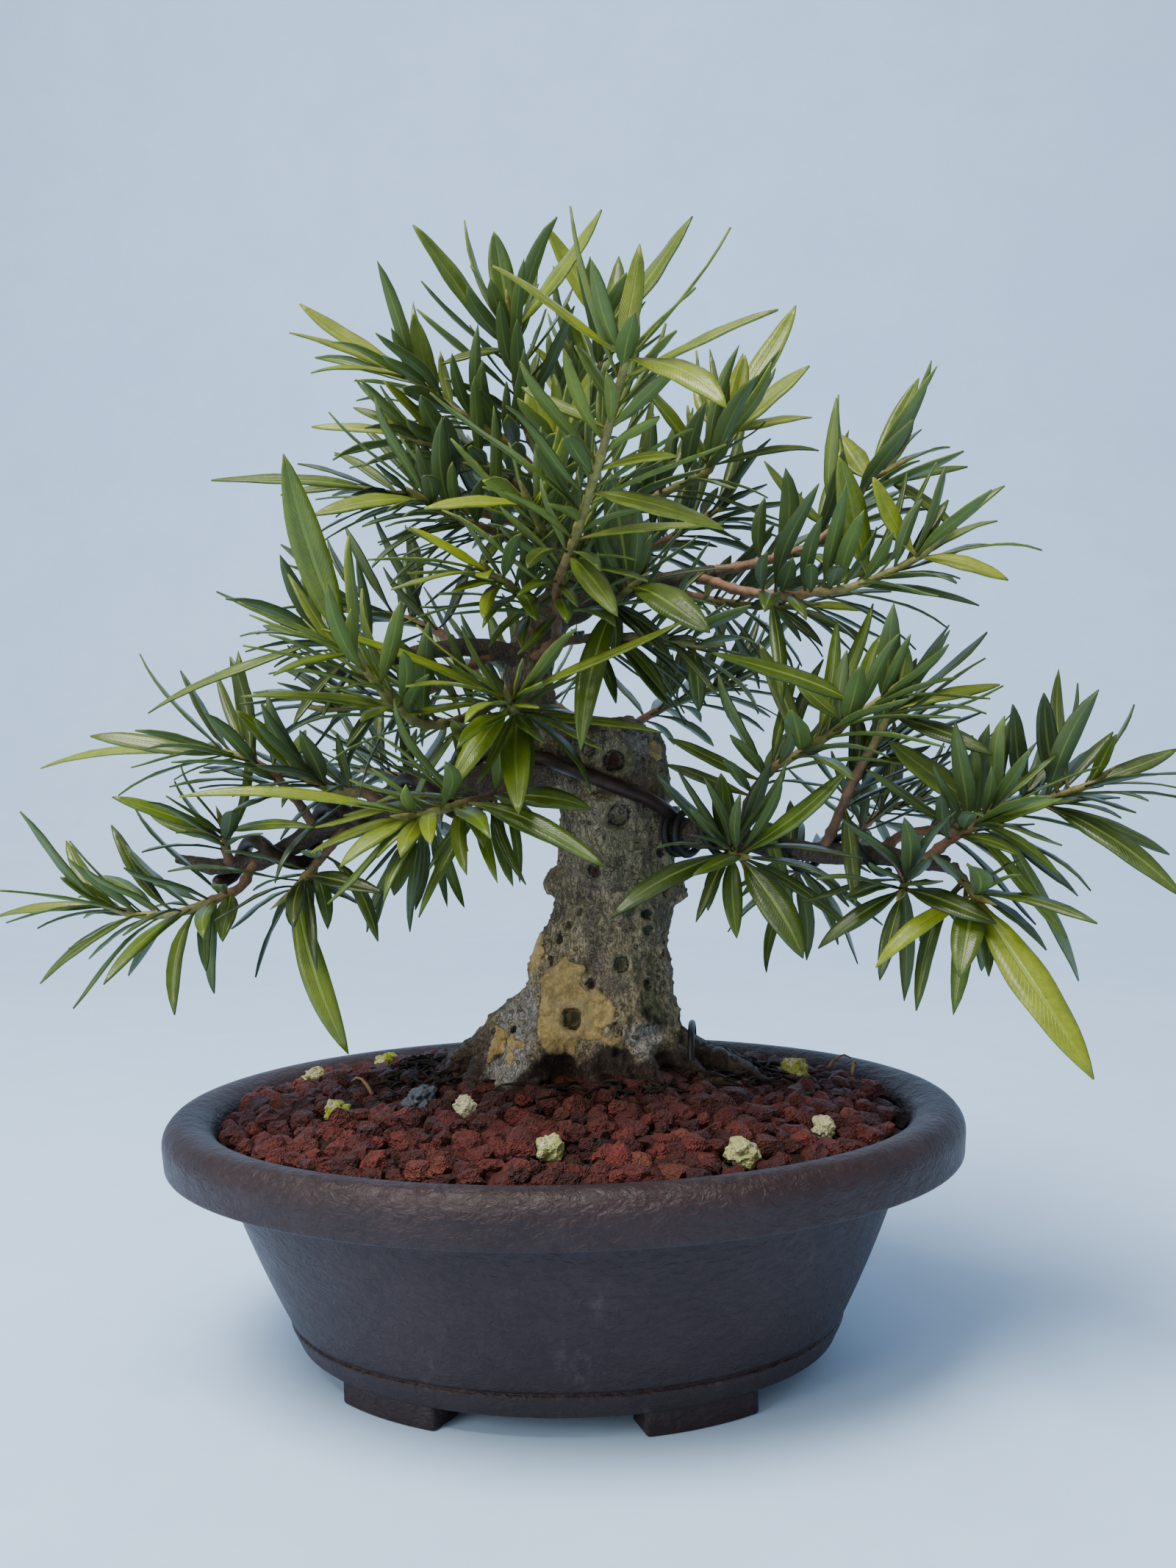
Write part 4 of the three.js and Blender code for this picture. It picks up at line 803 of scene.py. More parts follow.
class Finish(Nodes):
    """A material, its shader, and the place on the piece in millimetres."""

    def __init__(self, name):
        self.material = bpy.data.materials.new(name)
        self.material.use_nodes = True
        super().__init__(self.material.node_tree, None)
        self.place = self.stretched(1 / MM, 1 / MM, 1 / MM, self.node("ShaderNodeTexCoord").outputs["Object"])

    def done(self, **sockets):
        """Links or sets the shader's inputs, and gives the material."""
        for key, value in sockets.items():
            self.put(self.tree.nodes["Principled BSDF"].inputs[key.replace("_", " ")], value)
        return self.material


def new_group(name, inputs, outputs):
    """A node group as nodes that start from its Place, with what is given to it and what it gives."""
    tree = bpy.data.node_groups.new(name, "ShaderNodeTree")
    for side, sockets in (("INPUT", inputs), ("OUTPUT", outputs)):
        for label, kind in sockets.items():
            tree.interface.new_socket(name=label, in_out=side, socket_type=f"NodeSocket{kind}")
    given = tree.nodes.new("NodeGroupInput").outputs
    return Nodes(tree, given["Place"]), given, tree.nodes.new("NodeGroupOutput").inputs


def mottle_group():
    """Soft patches of a lighter and a darker colour at two sizes."""
    if "Mottle" not in bpy.data.node_groups:
        inputs = {"Place": "Vector", "Patch Scale": "Float", "Dark": "Color", "Light": "Color"}
        nodes, given, out = new_group("Mottle", inputs, {"Colour": "Color"})
        broad = nodes.cloud(given["Patch Scale"], 4, 0.6)
        fine = nodes.cloud(nodes.times(given["Patch Scale"], 5.0), 3, 0.6)
        mask = nodes.span(nodes.total((broad, 0.65), (fine, 0.35)), 0.34, 0.66)
        nodes.put(out["Colour"], nodes.mix(mask, given["Dark"], given["Light"]))
    return bpy.data.node_groups["Mottle"]


def pitting_group():
    """The relief of a rough, pitted mineral: small bowls between sharp crumbs, and a mask of the bowls for painted
    shade.
    """
    if "Pitting" not in bpy.data.node_groups:
        inputs = {"Place": "Vector", "Pit Scale": "Float"}
        nodes, given, out = new_group("Pitting", inputs, {"Height": "Float", "Hollow": "Float"})
        warp = nodes.cloud(given["Pit Scale"], 4, 0.7)
        pits = nodes.cells(given["Pit Scale"])
        small = nodes.cells(nodes.times(given["Pit Scale"], 2.7))
        height = nodes.total((pits, 0.8), (small, 0.45), (warp, 0.9))
        nodes.put(out["Height"], height)
        nodes.put(out["Hollow"], nodes.span(height, 1.15, 0.55))
    return bpy.data.node_groups["Pitting"]


# Settings shown in the panel.
def colour_setting(name, description, default):
    return FloatVectorProperty(name=name, description=f"Colour of {description}", default=default, subtype="COLOR")


def number_setting(name, description, default, **limits):
    return FloatProperty(name=name, description=description, default=default, **limits)


# The pot.
class PotSettings(bpy.types.PropertyGroup):
    plastic: colour_setting("Plastic", "the moulded plastic", (0.022, 0.0118, 0.0135))
    scuffs: colour_setting("Scuffs", "the worn and limy marks", (0.16, 0.145, 0.13))
    emboss: number_setting("Emboss", "Height of the leathery texture in millimetres", 0.55, min=0, max=1)
    roughness: number_setting("Roughness", "How matte the plastic is", 0.47, min=0, max=1, subtype="FACTOR")


def pot_material(settings):
    finish = Finish("pot_plastic")
    wave = finish.cloud(0.16, 2, 0.5, place=finish.stretched(1, 1, 1.5))
    lumps = finish.cloud(0.42, 4, 0.55, 1.4, place=finish.stretched(1, 1, 1.7))
    creases = finish.cells(0.33, "SMOOTH_F1", finish.stretched(1, 1, 1.8))
    grain = finish.cloud(2.2, 3, 0.6)
    height = finish.total((lumps, 1.3), (creases, 0.55), (grain, 0.12))
    marks = finish.span(finish.cloud(0.09, 6, 0.72, place=finish.stretched(1, 1, 0.4)), 0.6, 0.78)
    specks = finish.span(finish.cloud(0.9, 5, 0.75), 0.66, 0.78)
    worn = finish.maths("MAXIMUM", finish.times(marks, 0.3), finish.times(specks, 0.35))
    # Painted highlight: the crests of the emboss are lightened as a sheen on the raised grain.
    crest_sheen = finish.span(height, 0.75, 1.35)
    colour = finish.layered(
        finish.mottled(settings.plastic, 0.05, 0.82, 1.2),
        (crest_sheen, 0.25, rgba(settings.plastic, 1.7)),
        (worn, 1, rgba(settings.scuffs)),
    )
    return finish.done(
        Base_Color=colour,
        Roughness=finish.total((wave, 0.16), (settings.roughness - 0.08, 1)),
        Specular_IOR_Level=0.27,
        Normal=finish.raised(height, 0.8, settings.emboss),
    )


def spun_oval(profile, steps):
    """Spins a half section about the pot's axis and squashes it to the oval."""
    bm = bmesh.new()
    chain = [bm.verts.new((radius, 0, height)) for radius, height in profile]
    edges = [bm.edges.new(pair) for pair in zip(chain, chain[1:])]
    bmesh.ops.spin(
        bm, geom=chain + edges, cent=(0, 0, 0), axis=(0, 0, 1), angle=2 * math.pi, steps=steps, use_merge=True
    )
    bmesh.ops.remove_doubles(bm, verts=bm.verts, dist=0.01)
    for v in bm.verts:
        v.co.y *= oval_ratio(math.hypot(v.co.x, v.co.y))
    bmesh.ops.recalc_face_normals(bm, faces=bm.faces)
    return bm


def rounded_corner(before, corner, after, radius, steps=4):
    """A corner of a section, rounded to that radius."""
    before, corner, after = (np.array(p, float) for p in (before, corner, after))
    reach = min(radius, np.linalg.norm(before - corner) / 2.2, np.linalg.norm(after - corner) / 2.2)
    start = corner + unit(before - corner) * reach
    end = corner + unit(after - corner) * reach
    return [(1 - t) ** 2 * start + 2 * t * (1 - t) * corner + t * t * end for t in np.arange(steps + 1) / steps]


def rounded_section(points):
    """The section with every inner corner rounded; each point is radius, height, rounding."""
    section = [points[0][:2]]
    for before, corner, after in zip(points, points[1:], points[2:]):
        section += rounded_corner(before[:2], corner[:2], after[:2], corner[2]) if corner[2] else [corner[:2]]
    return section + [points[-1][:2]]


def pot_section():
    """The pot's half section, from under its middle up its outside, over the rim and down its inside."""
    rim = POT_HALF_LENGTH
    roof = POT_HEIGHT - 3.4
    band = POT_HEIGHT - RIM_BAND_HEIGHT
    mouth = rim - RIM_LIP
    base = BASE_HALF_LENGTH
    groove = FOOT_HEIGHT + BASE_BAND_HEIGHT
    return rounded_section(
        (
            (0, FOOT_HEIGHT, 0),
            (base * 0.5, FOOT_HEIGHT, 0),
            (base - 1, FOOT_HEIGHT, 0.7),
            (base + 1.1, groove, 0.5),
            (base + 0.3, groove + 0.5, 0.3),
            (base + 1.2, groove + 1.2, 0.4),
            (60.6, 16.4, 3),
            (*MIDDLE_WALL, 4),
            (67.6, 33, 4),
            (WALL_TOP_HALF_LENGTH, band, 1.5),
            (WALL_TOP_HALF_LENGTH + 1, roof, 0.6),
            (rim - SKIRT_THICKNESS, roof, 0.6),
            (rim - SKIRT_THICKNESS, band, 0.5),
            (rim - 0.5, band - 0.1, 0.9),
            (rim, POT_HEIGHT - 3, 2.4),
            (rim - 2.6, POT_HEIGHT + 0.1, 2.4),
            (mouth + 3.4, POT_HEIGHT + 0.3, 2.4),
            (mouth, POT_HEIGHT - 1.4, 1.8),
            (WALL_TOP_HALF_LENGTH - WALL_THICKNESS, band, 1.5),
            (MIDDLE_WALL[0] - WALL_THICKNESS, MIDDLE_WALL[1], 4),
            (base - BASE_CORNER, FOOT_HEIGHT + FLOOR_THICKNESS, 1.5),
            (0, FOOT_HEIGHT + FLOOR_THICKNESS, 0),
        )
    )


def foot(bm, start, end):
    """A foot with rounded edges, curved along the pot's floor between two angles in degrees."""
    outside = BASE_HALF_LENGTH - FOOT_INSET
    inside = outside - FOOT_WIDTH
    length = math.radians(end - start) * outside
    height = FOOT_HEIGHT + FLOOR_THICKNESS / 2
    bmesh.ops.create_cube(bm, size=1, matrix=Matrix.Diagonal((length, FOOT_WIDTH, height, 1)))
    rounding = {"offset": FOOT_ROUNDING, "offset_type": "OFFSET", "segments": 3, "profile": 0.5}
    bmesh.ops.bevel(bm, geom=list(bm.edges), affect="EDGES", material=-1, **rounding)
    for share in np.linspace(-0.44, 0.44, FOOT_CUTS):
        everything = [*bm.verts, *bm.edges, *bm.faces]
        bmesh.ops.bisect_plane(bm, geom=everything, plane_co=(share * length, 0, 0), plane_no=(1, 0, 0))
    for v in bm.verts:
        angle = math.radians(between(start, end, v.co.x / length + 0.5))
        reach = between(inside, outside, v.co.y / FOOT_WIDTH + 0.5)
        v.co = (reach * math.cos(angle), reach * math.sin(angle) * oval_ratio(reach), v.co.z + height / 2)


def four_feet():
    feet = bmesh.new()
    for start, end in (FOOT_ANGLES, (180 - FOOT_ANGLES[1], 180 - FOOT_ANGLES[0])):
        for turn in (0, 180):
            single = bmesh.new()
            foot(single, start + turn, end + turn)
            bmesh.ops.recalc_face_normals(single, faces=single.faces)
            gather(single, feet)
            single.free()
    return feet


def drain_holes():
    holes = bmesh.new()
    round_bar = {"radius1": DRAIN_RADIUS, "radius2": DRAIN_RADIUS, "depth": 6 * FLOOR_THICKNESS}
    for x in DRAIN_PLACES:
        middle = Matrix.Translation((x, 0, FOOT_HEIGHT + FLOOR_THICKNESS / 2))
        bmesh.ops.create_cone(holes, cap_ends=True, segments=32, matrix=middle, **round_bar)
    return holes


class BONSAI_OT_pot(bpy.types.Operator):
    """Model the oval plastic pot with its rolled rim, feet and drain holes"""

    bl_idname = "bonsai.pot"
    bl_label = "Pot"

    def execute(self, context):
        bowl = mesh_of(spun_oval(pot_section(), POT_TURN_STEPS), "bowl")
        changes, tools = [], []
        for bm, name, operation in ((four_feet(), "feet", "UNION"), (drain_holes(), "holes", "DIFFERENCE")):
            tools.append(bpy.data.objects.new(name, mesh_of(bm, name)))
            context.scene.collection.objects.link(tools[-1])
            changes.append(("BOOLEAN", {"operation": operation, "object": tools[-1], "solver": "EXACT"}))
        mesh = baked(bowl, "bowl", *changes)
        for tool in tools:
            bpy.data.objects.remove(tool)
        piece = finish_piece("oval_pot", mesh, [pot_material(context.scene.bonsai_pot)], ["pot"])
        piece.data.set_sharp_from_angle(angle=math.radians(32))
        return {"FINISHED"}


# The soil.
class SoilSettings(bpy.types.PropertyGroup):
    brick: colour_setting("Brick red", "most lava grains", (0.105, 0.018, 0.013))
    maroon: colour_setting("Maroon", "the darker lava grains", (0.042, 0.009, 0.008))
    damp: colour_setting("Damp", "the damp soil between the grains", (0.02, 0.009, 0.007))
    spacing: number_setting("Spacing", "Millimetres between neighbouring grains", 4.1, min=2.5, max=8)
    grain_radius: number_setting("Grain radius", "Millimetres across half a usual grain", 2.55, min=1, max=5)
    seed: IntProperty(name="Seed", description="Another number lays the grains another way", default=7)


# The grains lie in two layers: how deep each is sunk, how large its grains are and how light; the lower layer is
# darker as painted shade under the top grains.
GRAIN_LAYERS = ((1.9, 0.9, 0.4), (0.15, 1.0, 1.0))
# How the grains vary: their size, length, thickness, height in the layer, shade and place.
GRAIN_SIZES = (0.72, 1.28)
GRAIN_LENGTHS = (0.82, 1.2)
GRAIN_THICKNESSES = (0.75, 1.05)
GRAIN_HEIGHTS = (-0.7, 0.9)
GRAIN_SHADES = (0.55, 1.5)
GRAIN_JITTER = 1.9
GREY_GRAIN_CHANCE = 0.06
GREY_GRAIN_TINT = (1.5, 1.9, 1.5)
# How far the lava stays from the pot's wall, along and across the oval.
GRAIN_EDGE_GAPS = (1.6, 1.4)
# How deep the mound lies under the grains' surface, how lumpy it is and its tint.
MOUND_DEPTH, MOUND_LUMPS = 1.9, 0.9
MOUND_TINT = (0.35, 0.3, 0.3, 1)
# How deep a grain of the lower layer is pushed by a loose grain that lies on it.
PUSHED_DOWN = 2
# The wood in the soil keeps within this distance of this x; further out counts as far outside it.
ROOTS_MIDDLE_X, ROOTS_REACH, FAR_OUTSIDE = 4, 52, -30
# The damp by the trunk starts and is full at these distances from the wood.
DAMP_REACH = (20, 6)
# The tints are kept this many times lighter on the grains than they look.
TINT_GAIN = 6
# Grains are made a few at a time, because a small mesh is quick to add to.
HANDFUL = 30


def mineral_material(name, dark, light, pit_scale, pit_depth, roughness, moss=None):
    """A rough mineral, with moss where a colour for it is given, or else with the grains' own tint, and painted shade
    darkening its pits.
    """
    finish = Finish(name)
    pits = finish.grouped(pitting_group(), Place=finish.place, Pit_Scale=pit_scale)
    colour = finish.mottle(0.5, rgba(dark), rgba(light))
    if moss is None:
        colour = finish.tinted(colour)
    else:
        growth = finish.times(finish.span(finish.cloud(0.42, 4, 0.65), 0.34, 0.54), finish.attribute("moss"))
        colour = finish.mix(growth, colour, rgba(moss))
    return finish.done(
        # Painted shade: the pits are darkened towards black.
        Base_Color=finish.layered(colour, (pits["Hollow"], 0.55, (0.008, 0.004, 0.003, 1))),
        Roughness=roughness,
        Normal=finish.raised(pits["Height"], 1.0, pit_depth),
        Specular_IOR_Level=0.35,
    )


def add_grain(bm, centre, radius, draw, fineness=2, flatness=0.85):
    """One crushed grain: a ball pushed in and out into an angular lump."""
    verts = bmesh.ops.create_icosphere(bm, subdivisions=fineness, radius=1)["verts"]
    offset = Vector((next(draw), next(draw), next(draw))) * 90
    length, width = between(*GRAIN_LENGTHS, next(draw)), between(*GRAIN_LENGTHS, next(draw))
    stretch = Vector((length, width, between(*GRAIN_THICKNESSES, next(draw)) * flatness))
    turn = Matrix.Rotation(next(draw) * math.pi, 3, Vector((next(draw) - 0.5, next(draw) - 0.5, 1)))
    limit = 0.93 + 0.1 * noise.noise(offset)
    for v in verts:
        way = v.co.copy()
        bulge = 1 + 0.5 * noise.noise(way * 1.35 + offset) + 0.26 * noise.noise(way * 3.1 + offset)
        shape = [math.copysign(min(abs(c), limit), c) for c in way * bulge]
        v.co = Vector(centre) + turn @ Vector([c * s for c, s in zip(shape, stretch)]) * radius
    return verts


def grain_places(settings, draw):
    """Where the lava grains lie: a jittered close packing over the pot's mouth."""
    row_gap = settings.spacing * math.sqrt(3) / 2
    half_width = SOIL_HALF_LENGTH * oval_ratio(SOIL_HALF_LENGTH)
    furthest_x, furthest_y = SOIL_HALF_LENGTH - GRAIN_EDGE_GAPS[0], half_width - GRAIN_EDGE_GAPS[1]
    rows = int(half_width / row_gap)
    columns = int(SOIL_HALF_LENGTH / settings.spacing)
    for row in range(-rows, rows + 1):
        for column in range(-columns, columns + 1):
            x = (column + 0.5 * (row % 2)) * settings.spacing + (next(draw) - 0.5) * GRAIN_JITTER
            y = row * row_gap + (next(draw) - 0.5) * GRAIN_JITTER
            if math.hypot(x / furthest_x, y / furthest_y) < 1:
                yield x, y


def grain_tint(settings, shade, near_trunk, draw):
    """A grain's tint between maroon and red, now and then greyer, darker in the lower layer as painted shade, and
    browner in the damp by the trunk.
    """
    redness, lightness = next(draw), between(*GRAIN_SHADES, next(draw)) * shade
    colour = [between(a, b, redness**0.8) * lightness for a, b in zip(settings.maroon, settings.brick)]
    if next(draw) < GREY_GRAIN_CHANCE:
        colour = [c * f for c, f in zip(colour, GREY_GRAIN_TINT)]
    colour = [between(c, d, 0.55 * near_trunk * next(draw)) for c, d in zip(colour, settings.damp)]
    return (*[min(1, c * TINT_GAIN) for c in colour], 1)


def soil_mound():
    """The soil's body under the grains, filling the pot's inside."""
    gap = FIT_GAP + 0.2
    floor = FOOT_HEIGHT + FLOOR_THICKNESS + gap
    section = [
        (0, floor),
        (BASE_HALF_LENGTH - BASE_CORNER - gap, floor),
        (MIDDLE_WALL[0] - WALL_THICKNESS - gap, MIDDLE_WALL[1]),
        (WALL_TOP_HALF_LENGTH - WALL_THICKNESS - gap, POT_HEIGHT - RIM_BAND_HEIGHT),
        (SOIL_HALF_LENGTH, SOIL_EDGE - 1.6),
        *((SOIL_HALF_LENGTH * share, SOIL_TOP) for share in np.linspace(0.96, 0.04, 22)),
        (0, SOIL_TOP),
    ]
    bm = spun_oval(section, 96)
    for v in bm.verts:
        if v.co.z > SOIL_TOP - 0.01:
            v.co.z = soil_height(v.co.x, v.co.y) - MOUND_DEPTH + MOUND_LUMPS * noise.noise(v.co * 0.35)
    return bm


class BONSAI_OT_soil(bpy.types.Operator):
    """Heap the lava grains over the soil in the pot"""

    bl_idname = "bonsai.soil"
    bl_label = "Soil"

    def execute(self, context):
        settings = context.scene.bonsai_soil
        draw = drawer(settings.seed)
        bm = soil_mound()
        tint = bm.verts.layers.float_color.new("tint")
        for v in bm.verts:
            v[tint] = MOUND_TINT
        handful = bmesh.new()
        tint = handful.verts.layers.float_color.new("tint")
        laid = 0
        # Each layer's shade darkens the grains of the lower layer as painted shade.
        for on_top, (sink, size, shade) in enumerate(GRAIN_LAYERS):
            for x, y in grain_places(settings, draw):
                radius = settings.grain_radius * size * between(*GRAIN_SIZES, next(draw))
                z = soil_height(x, y) - sink + between(*GRAIN_HEIGHTS, next(draw))
                near_grain = min(math.hypot(x - g[0], y - g[1]) - g[2] for g in LOOSE_GRAINS.values())
                if on_top and near_grain < radius * 0.8:
                    continue
                if not on_top and near_grain < 0:
                    z -= PUSHED_DOWN
                near_roots = math.hypot(x - ROOTS_MIDDLE_X, y) < ROOTS_REACH
                depth = wood_depth((x, y, z)) if near_roots else FAR_OUTSIDE
                if depth > radius * 0.3:
                    continue
                verts = add_grain(handful, (x, y, z), radius, draw)
                colour = grain_tint(settings, shade, float(smooth_step(*DAMP_REACH, -depth)), draw)
                for v in verts:
                    v[tint] = colour
                laid += 1
                if laid % HANDFUL == 0:
                    gather(handful, bm)
                    handful.clear()
                    tint = handful.verts.layers.float_color.new("tint")
        gather(handful, bm)
        handful.free()
        material = mineral_material("lava", (0.12, 0.12, 0.12), (0.22, 0.22, 0.22), 1.15, 1.1, 0.62)
        finish_piece("lava_soil", bm, [material], ["soil"], smooth=False)
        return {"FINISHED"}


class LooseGrainSettings(bpy.types.PropertyGroup):
    pumice: colour_setting("Pumice", "clean pumice", (0.62, 0.6, 0.38))
    moss: colour_setting("Green film", "the green film on pumice", (0.27, 0.31, 0.02))
    stone: colour_setting("Stone", "the blue-grey stone", (0.045, 0.055, 0.07))


LOOSE_GRAIN_SEED = 400


class BONSAI_OT_loose_grains(bpy.types.Operator):
    """Lay the pumice grains and the grey stone on the soil"""

    bl_idname = "bonsai.loose_grains"
    bl_label = "Loose grains"

    def execute(self, context):
        settings = context.scene.bonsai_loose
        pumice, stone = settings.pumice, settings.stone
        materials = {
            "pumice": mineral_material("pumice", rgba(pumice, 0.6), pumice, 1.3, 0.5, 0.9, settings.moss),
            "grey_stone": mineral_material("grey_stone", rgba(stone, 0.7), rgba(stone, 1.4), 0.9, 0.25, 0.6, stone),
        }
        for number, (name, (x, y, radius, mossy)) in enumerate(LOOSE_GRAINS.items()):
            bm = bmesh.new()
            middle = Vector((x, y, soil_height(x, y) + radius * 0.35))
            add_grain(bm, middle, radius * 1.04, drawer(LOOSE_GRAIN_SEED + 31 * number), 5, 0.95)
            moss = bm.verts.layers.float.new("moss")
            for v in bm.verts:
                rough = noise.noise(v.co * 1.1) * 0.28 + noise.noise(v.co * 2.6) * 0.12
                v.co += (v.co - middle).normalized() * rough
                v[moss] = mossy
            slot = "grey_stone" if name == "stone_grey" else "pumice"
            finish_piece(f"loose_{name}", bm, [materials[slot]], [name])
        return {"FINISHED"}


# The wood.
class WoodSettings(bpy.types.PropertyGroup):
    fineness: number_setting("Fineness", "Size of the wood's mesh in millimetres", 0.55, min=0.3, max=3)
    bark: colour_setting("Bark", "the pale bark", (0.34, 0.27, 0.15))
    cracks: colour_setting("Cracks", "the bark's cracks", (0.07, 0.052, 0.036))
    twig: colour_setting("Limbs", "the thin limbs' bark", (0.115, 0.085, 0.06))
    algae: colour_setting("Green film", "the green film on the bark", (0.13, 0.145, 0.055))
    paste: colour_setting("Wound paste", "the tan wound paste", (0.66, 0.46, 0.165))
    damp: colour_setting("Damp foot", "the wet bark by the soil", (0.035, 0.02, 0.012))


ROSY_BARK = (0.25, 0.175, 0.155, 1)
PALE_BARK = ((0.33, 0.31, 0.28, 1), (0.62, 0.6, 0.56, 1))
CORK = ((0.3, 0.26, 0.15, 1), (0.2, 0.2, 0.08, 1))
CALLUS = (0.44, 0.37, 0.2, 1)
MOSSY_SCAR = (0.075, 0.08, 0.03, 1)
SCAR_HEART = (0.09, 0.028, 0.018, 1)
DARK_BARK_AND_SHADE = (0.012, 0.009, 0.006, 1)

# How far the corky dots and the paste stand out, and how deep the cavity by the foot is, which is also painted black
# as shade.
CORK_LIFT, PASTE_LIFT, BITE_DEPTH = 0.42, 0.55, 1.6

SEGMENTS = [
    (name, np.array(a, float), np.array(b, float)) for name, path in LIMBS.items() for a, b in zip(path, path[1:])
]


def wood_depth(point):
    """How deep a point lies in the wood in millimetres; outside it the depth is below zero."""
    best = -math.inf
    for _, a, b in SEGMENTS:
        way = b[:3] - a[:3]
        share = np.clip((np.array(point) - a[:3]) @ way / (way @ way), 0, 1)
        gap = np.linalg.norm(np.array(point) - a[:3] - way * share)
        best = max(best, between(a[3], b[3], share) - gap)
    return best


def limb_radii(points):
    """The radius of the nearest limb at each point, and whether it is the trunk or a root."""
    gaps = np.full(len(points), np.inf)
    radii = np.ones(len(points))
    on_trunk = np.zeros(len(points))
    for name, a, b in SEGMENTS:
        way = b[:3] - a[:3]
        share = np.clip((points - a[:3]) @ way / (way @ way), 0, 1)
        radius = between(a[3], b[3], share)
        gap = np.linalg.norm(points - a[:3] - share[:, None] * way, axis=1) - radius
        nearer = gap < gaps
        gaps = np.where(nearer, gap, gaps)
        radii = np.where(nearer, radius, radii)
        on_trunk = np.where(nearer, float(name == "trunk" or name.endswith("root")), on_trunk)
    return radii, on_trunk


def inside_patch(points, patch, soft):
    """From 0 well outside a patch of x and z, through 0.5 at its edge, to 1 well inside it."""
    outline = np.array(patch, float)
    nearest = np.full(len(points), np.inf)
    inside = np.zeros(len(points), bool)
    for a, b in zip(outline, np.roll(outline, -1, axis=0)):
        way = b - a
        share = np.clip((points - a) @ way / (way @ way), 0, 1)
        nearest = np.minimum(nearest, np.linalg.norm(points - a - share[:, None] * way, axis=1))
        crosses = (a[1] > points[:, 1]) != (b[1] > points[:, 1])
        where = a[0] + (points[:, 1] - a[1]) / (way[1] if way[1] else 1) * way[0]
        inside ^= crosses & (points[:, 0] < where)
    signed = np.where(inside, nearest, -nearest)
    return np.clip(0.5 + 0.5 * signed / soft, 0, 1)


def wood_body(settings):
    """All the limbs and roots as tubes, joined and given an even mesh."""
    bm = bmesh.new()
    for paths, step, sides in ((LIMBS.values(), 3, 20), (FINE_ROOTS, 2.5, 12)):
        for path in paths:
            sweep(bm, smooth_route(path, step), sides)
    for x, y, z, radius in KNOBS:
        bmesh.ops.create_icosphere(bm, subdivisions=3, radius=radius, matrix=Matrix.Translation((x, y, z)))
    bmesh.ops.recalc_face_normals(bm, faces=bm.faces)
    return baked(
        mesh_of(bm, "wood_body"),
        "wood_body",
        ("REMESH", {"mode": "VOXEL", "voxel_size": settings.fineness}),
        ("SMOOTH", {"factor": 0.5, "iterations": 6}),
    )


def bark_relief(points, radii):
    """How far the bark stands out at each point; the thinner the limb, the smoother it is."""
    heights = np.zeros(len(points))
    for i, (p, radius) in enumerate(zip(points, radii)):
        size = min(1.0, radius / 9)

        def wave(flat, tall, *shift):
            return noise.noise(Vector((p[0] * flat, p[1] * flat, p[2] * tall)) + Vector(shift or (0, 0, 0)))

        def ridges(value, sharpness):
            return max(0.0, 1 - abs(value) * sharpness)

        foot = float(smooth_step(72, 60, p[2]))
        lumps = (wave(0.13, 0.13) * 1.15 + wave(0.31, 0.31, 7, 0, 0) * 0.55) * (0.8 + 0.7 * foot)
        cracks = ridges(wave(0.55, 0.13, 0, 0, 9), 2.4) ** 4 * 0.42
        wrinkles = ridges(wave(1.2, 0.35), 2.2) ** 4 * 0.24
        warts = max(0.0, wave(0.5, 0.95, 3, 3, 3) - 0.22) * 1.3
        folds = wave(0.2, 0.55, 1, 8, 3) * 0.45 * (1 - size * 0.3)
        creases = ridges(wave(0.33, 0.33, 5, 1, 2), 3) ** 2 * 0.7 * foot
        heights[i] = (lumps - cracks - wrinkles + warts) * size + folds - creases
    return heights


def corky_dots(points, on_trunk):
    """Where the small raised corky dots stand, level ovals in loose rows."""
    dots = np.zeros(len(points))
    for i in np.flatnonzero(on_trunk * (points[:, 2] >= 64)):
        x, y, z = points[i]
        spot = Vector((x / 2.9, y / 2.9, z / 2.3 + 0.35 * noise.noise(Vector((x, y, z)) * 0.12)))
        distance = noise.voronoi(spot)[0][0]
        keep = noise.noise(spot * 0.8 + Vector((4, 4, 4))) > -0.12
        dots[i] = keep * max(0.0, 1 - (distance / 0.27) ** 2)
    return dots


def cut_scars(points, surface):
    """The rings and hollows of the scars, and the masks that tint them."""
    heights = np.zeros(len(points))
    masks = {name: np.zeros(len(points)) for name in ("heart", "dark", "moss", "callus")}
    for x, z, radius, ring, depth, middle in SCARS:
        struck = surface.ray_cast(Vector((x, -80, z)), Vector((0, 1, 0)))[0]
        if struck is None:
            continue
        gap = np.linalg.norm((points - np.array(struck)) * (1, 1, 0.92), axis=1)
        for i in np.flatnonzero(gap < radius * 2.2):
            share = gap[i] / radius * (1 + 0.22 * noise.noise(Vector(points[i]) * 0.9))
            circle = math.exp(-(((share - 0.85) / 0.3) ** 2))
            inner = math.exp(-((share / 0.48) ** 4))
            ripple = 0.12 * math.sin(share * 16) * math.exp(-((share / 1.3) ** 4))
            heights[i] += 1.35 * ring * circle - 1.2 * depth * inner + ripple
            edge = 0.75 * math.exp(-(((share - 0.52) / 0.13) ** 2))
            for name, value in ((middle, inner), ("dark", edge), ("callus", circle)):
                if name in masks:
                    masks[name][i] = max(masks[name][i], value)
    return heights, masks


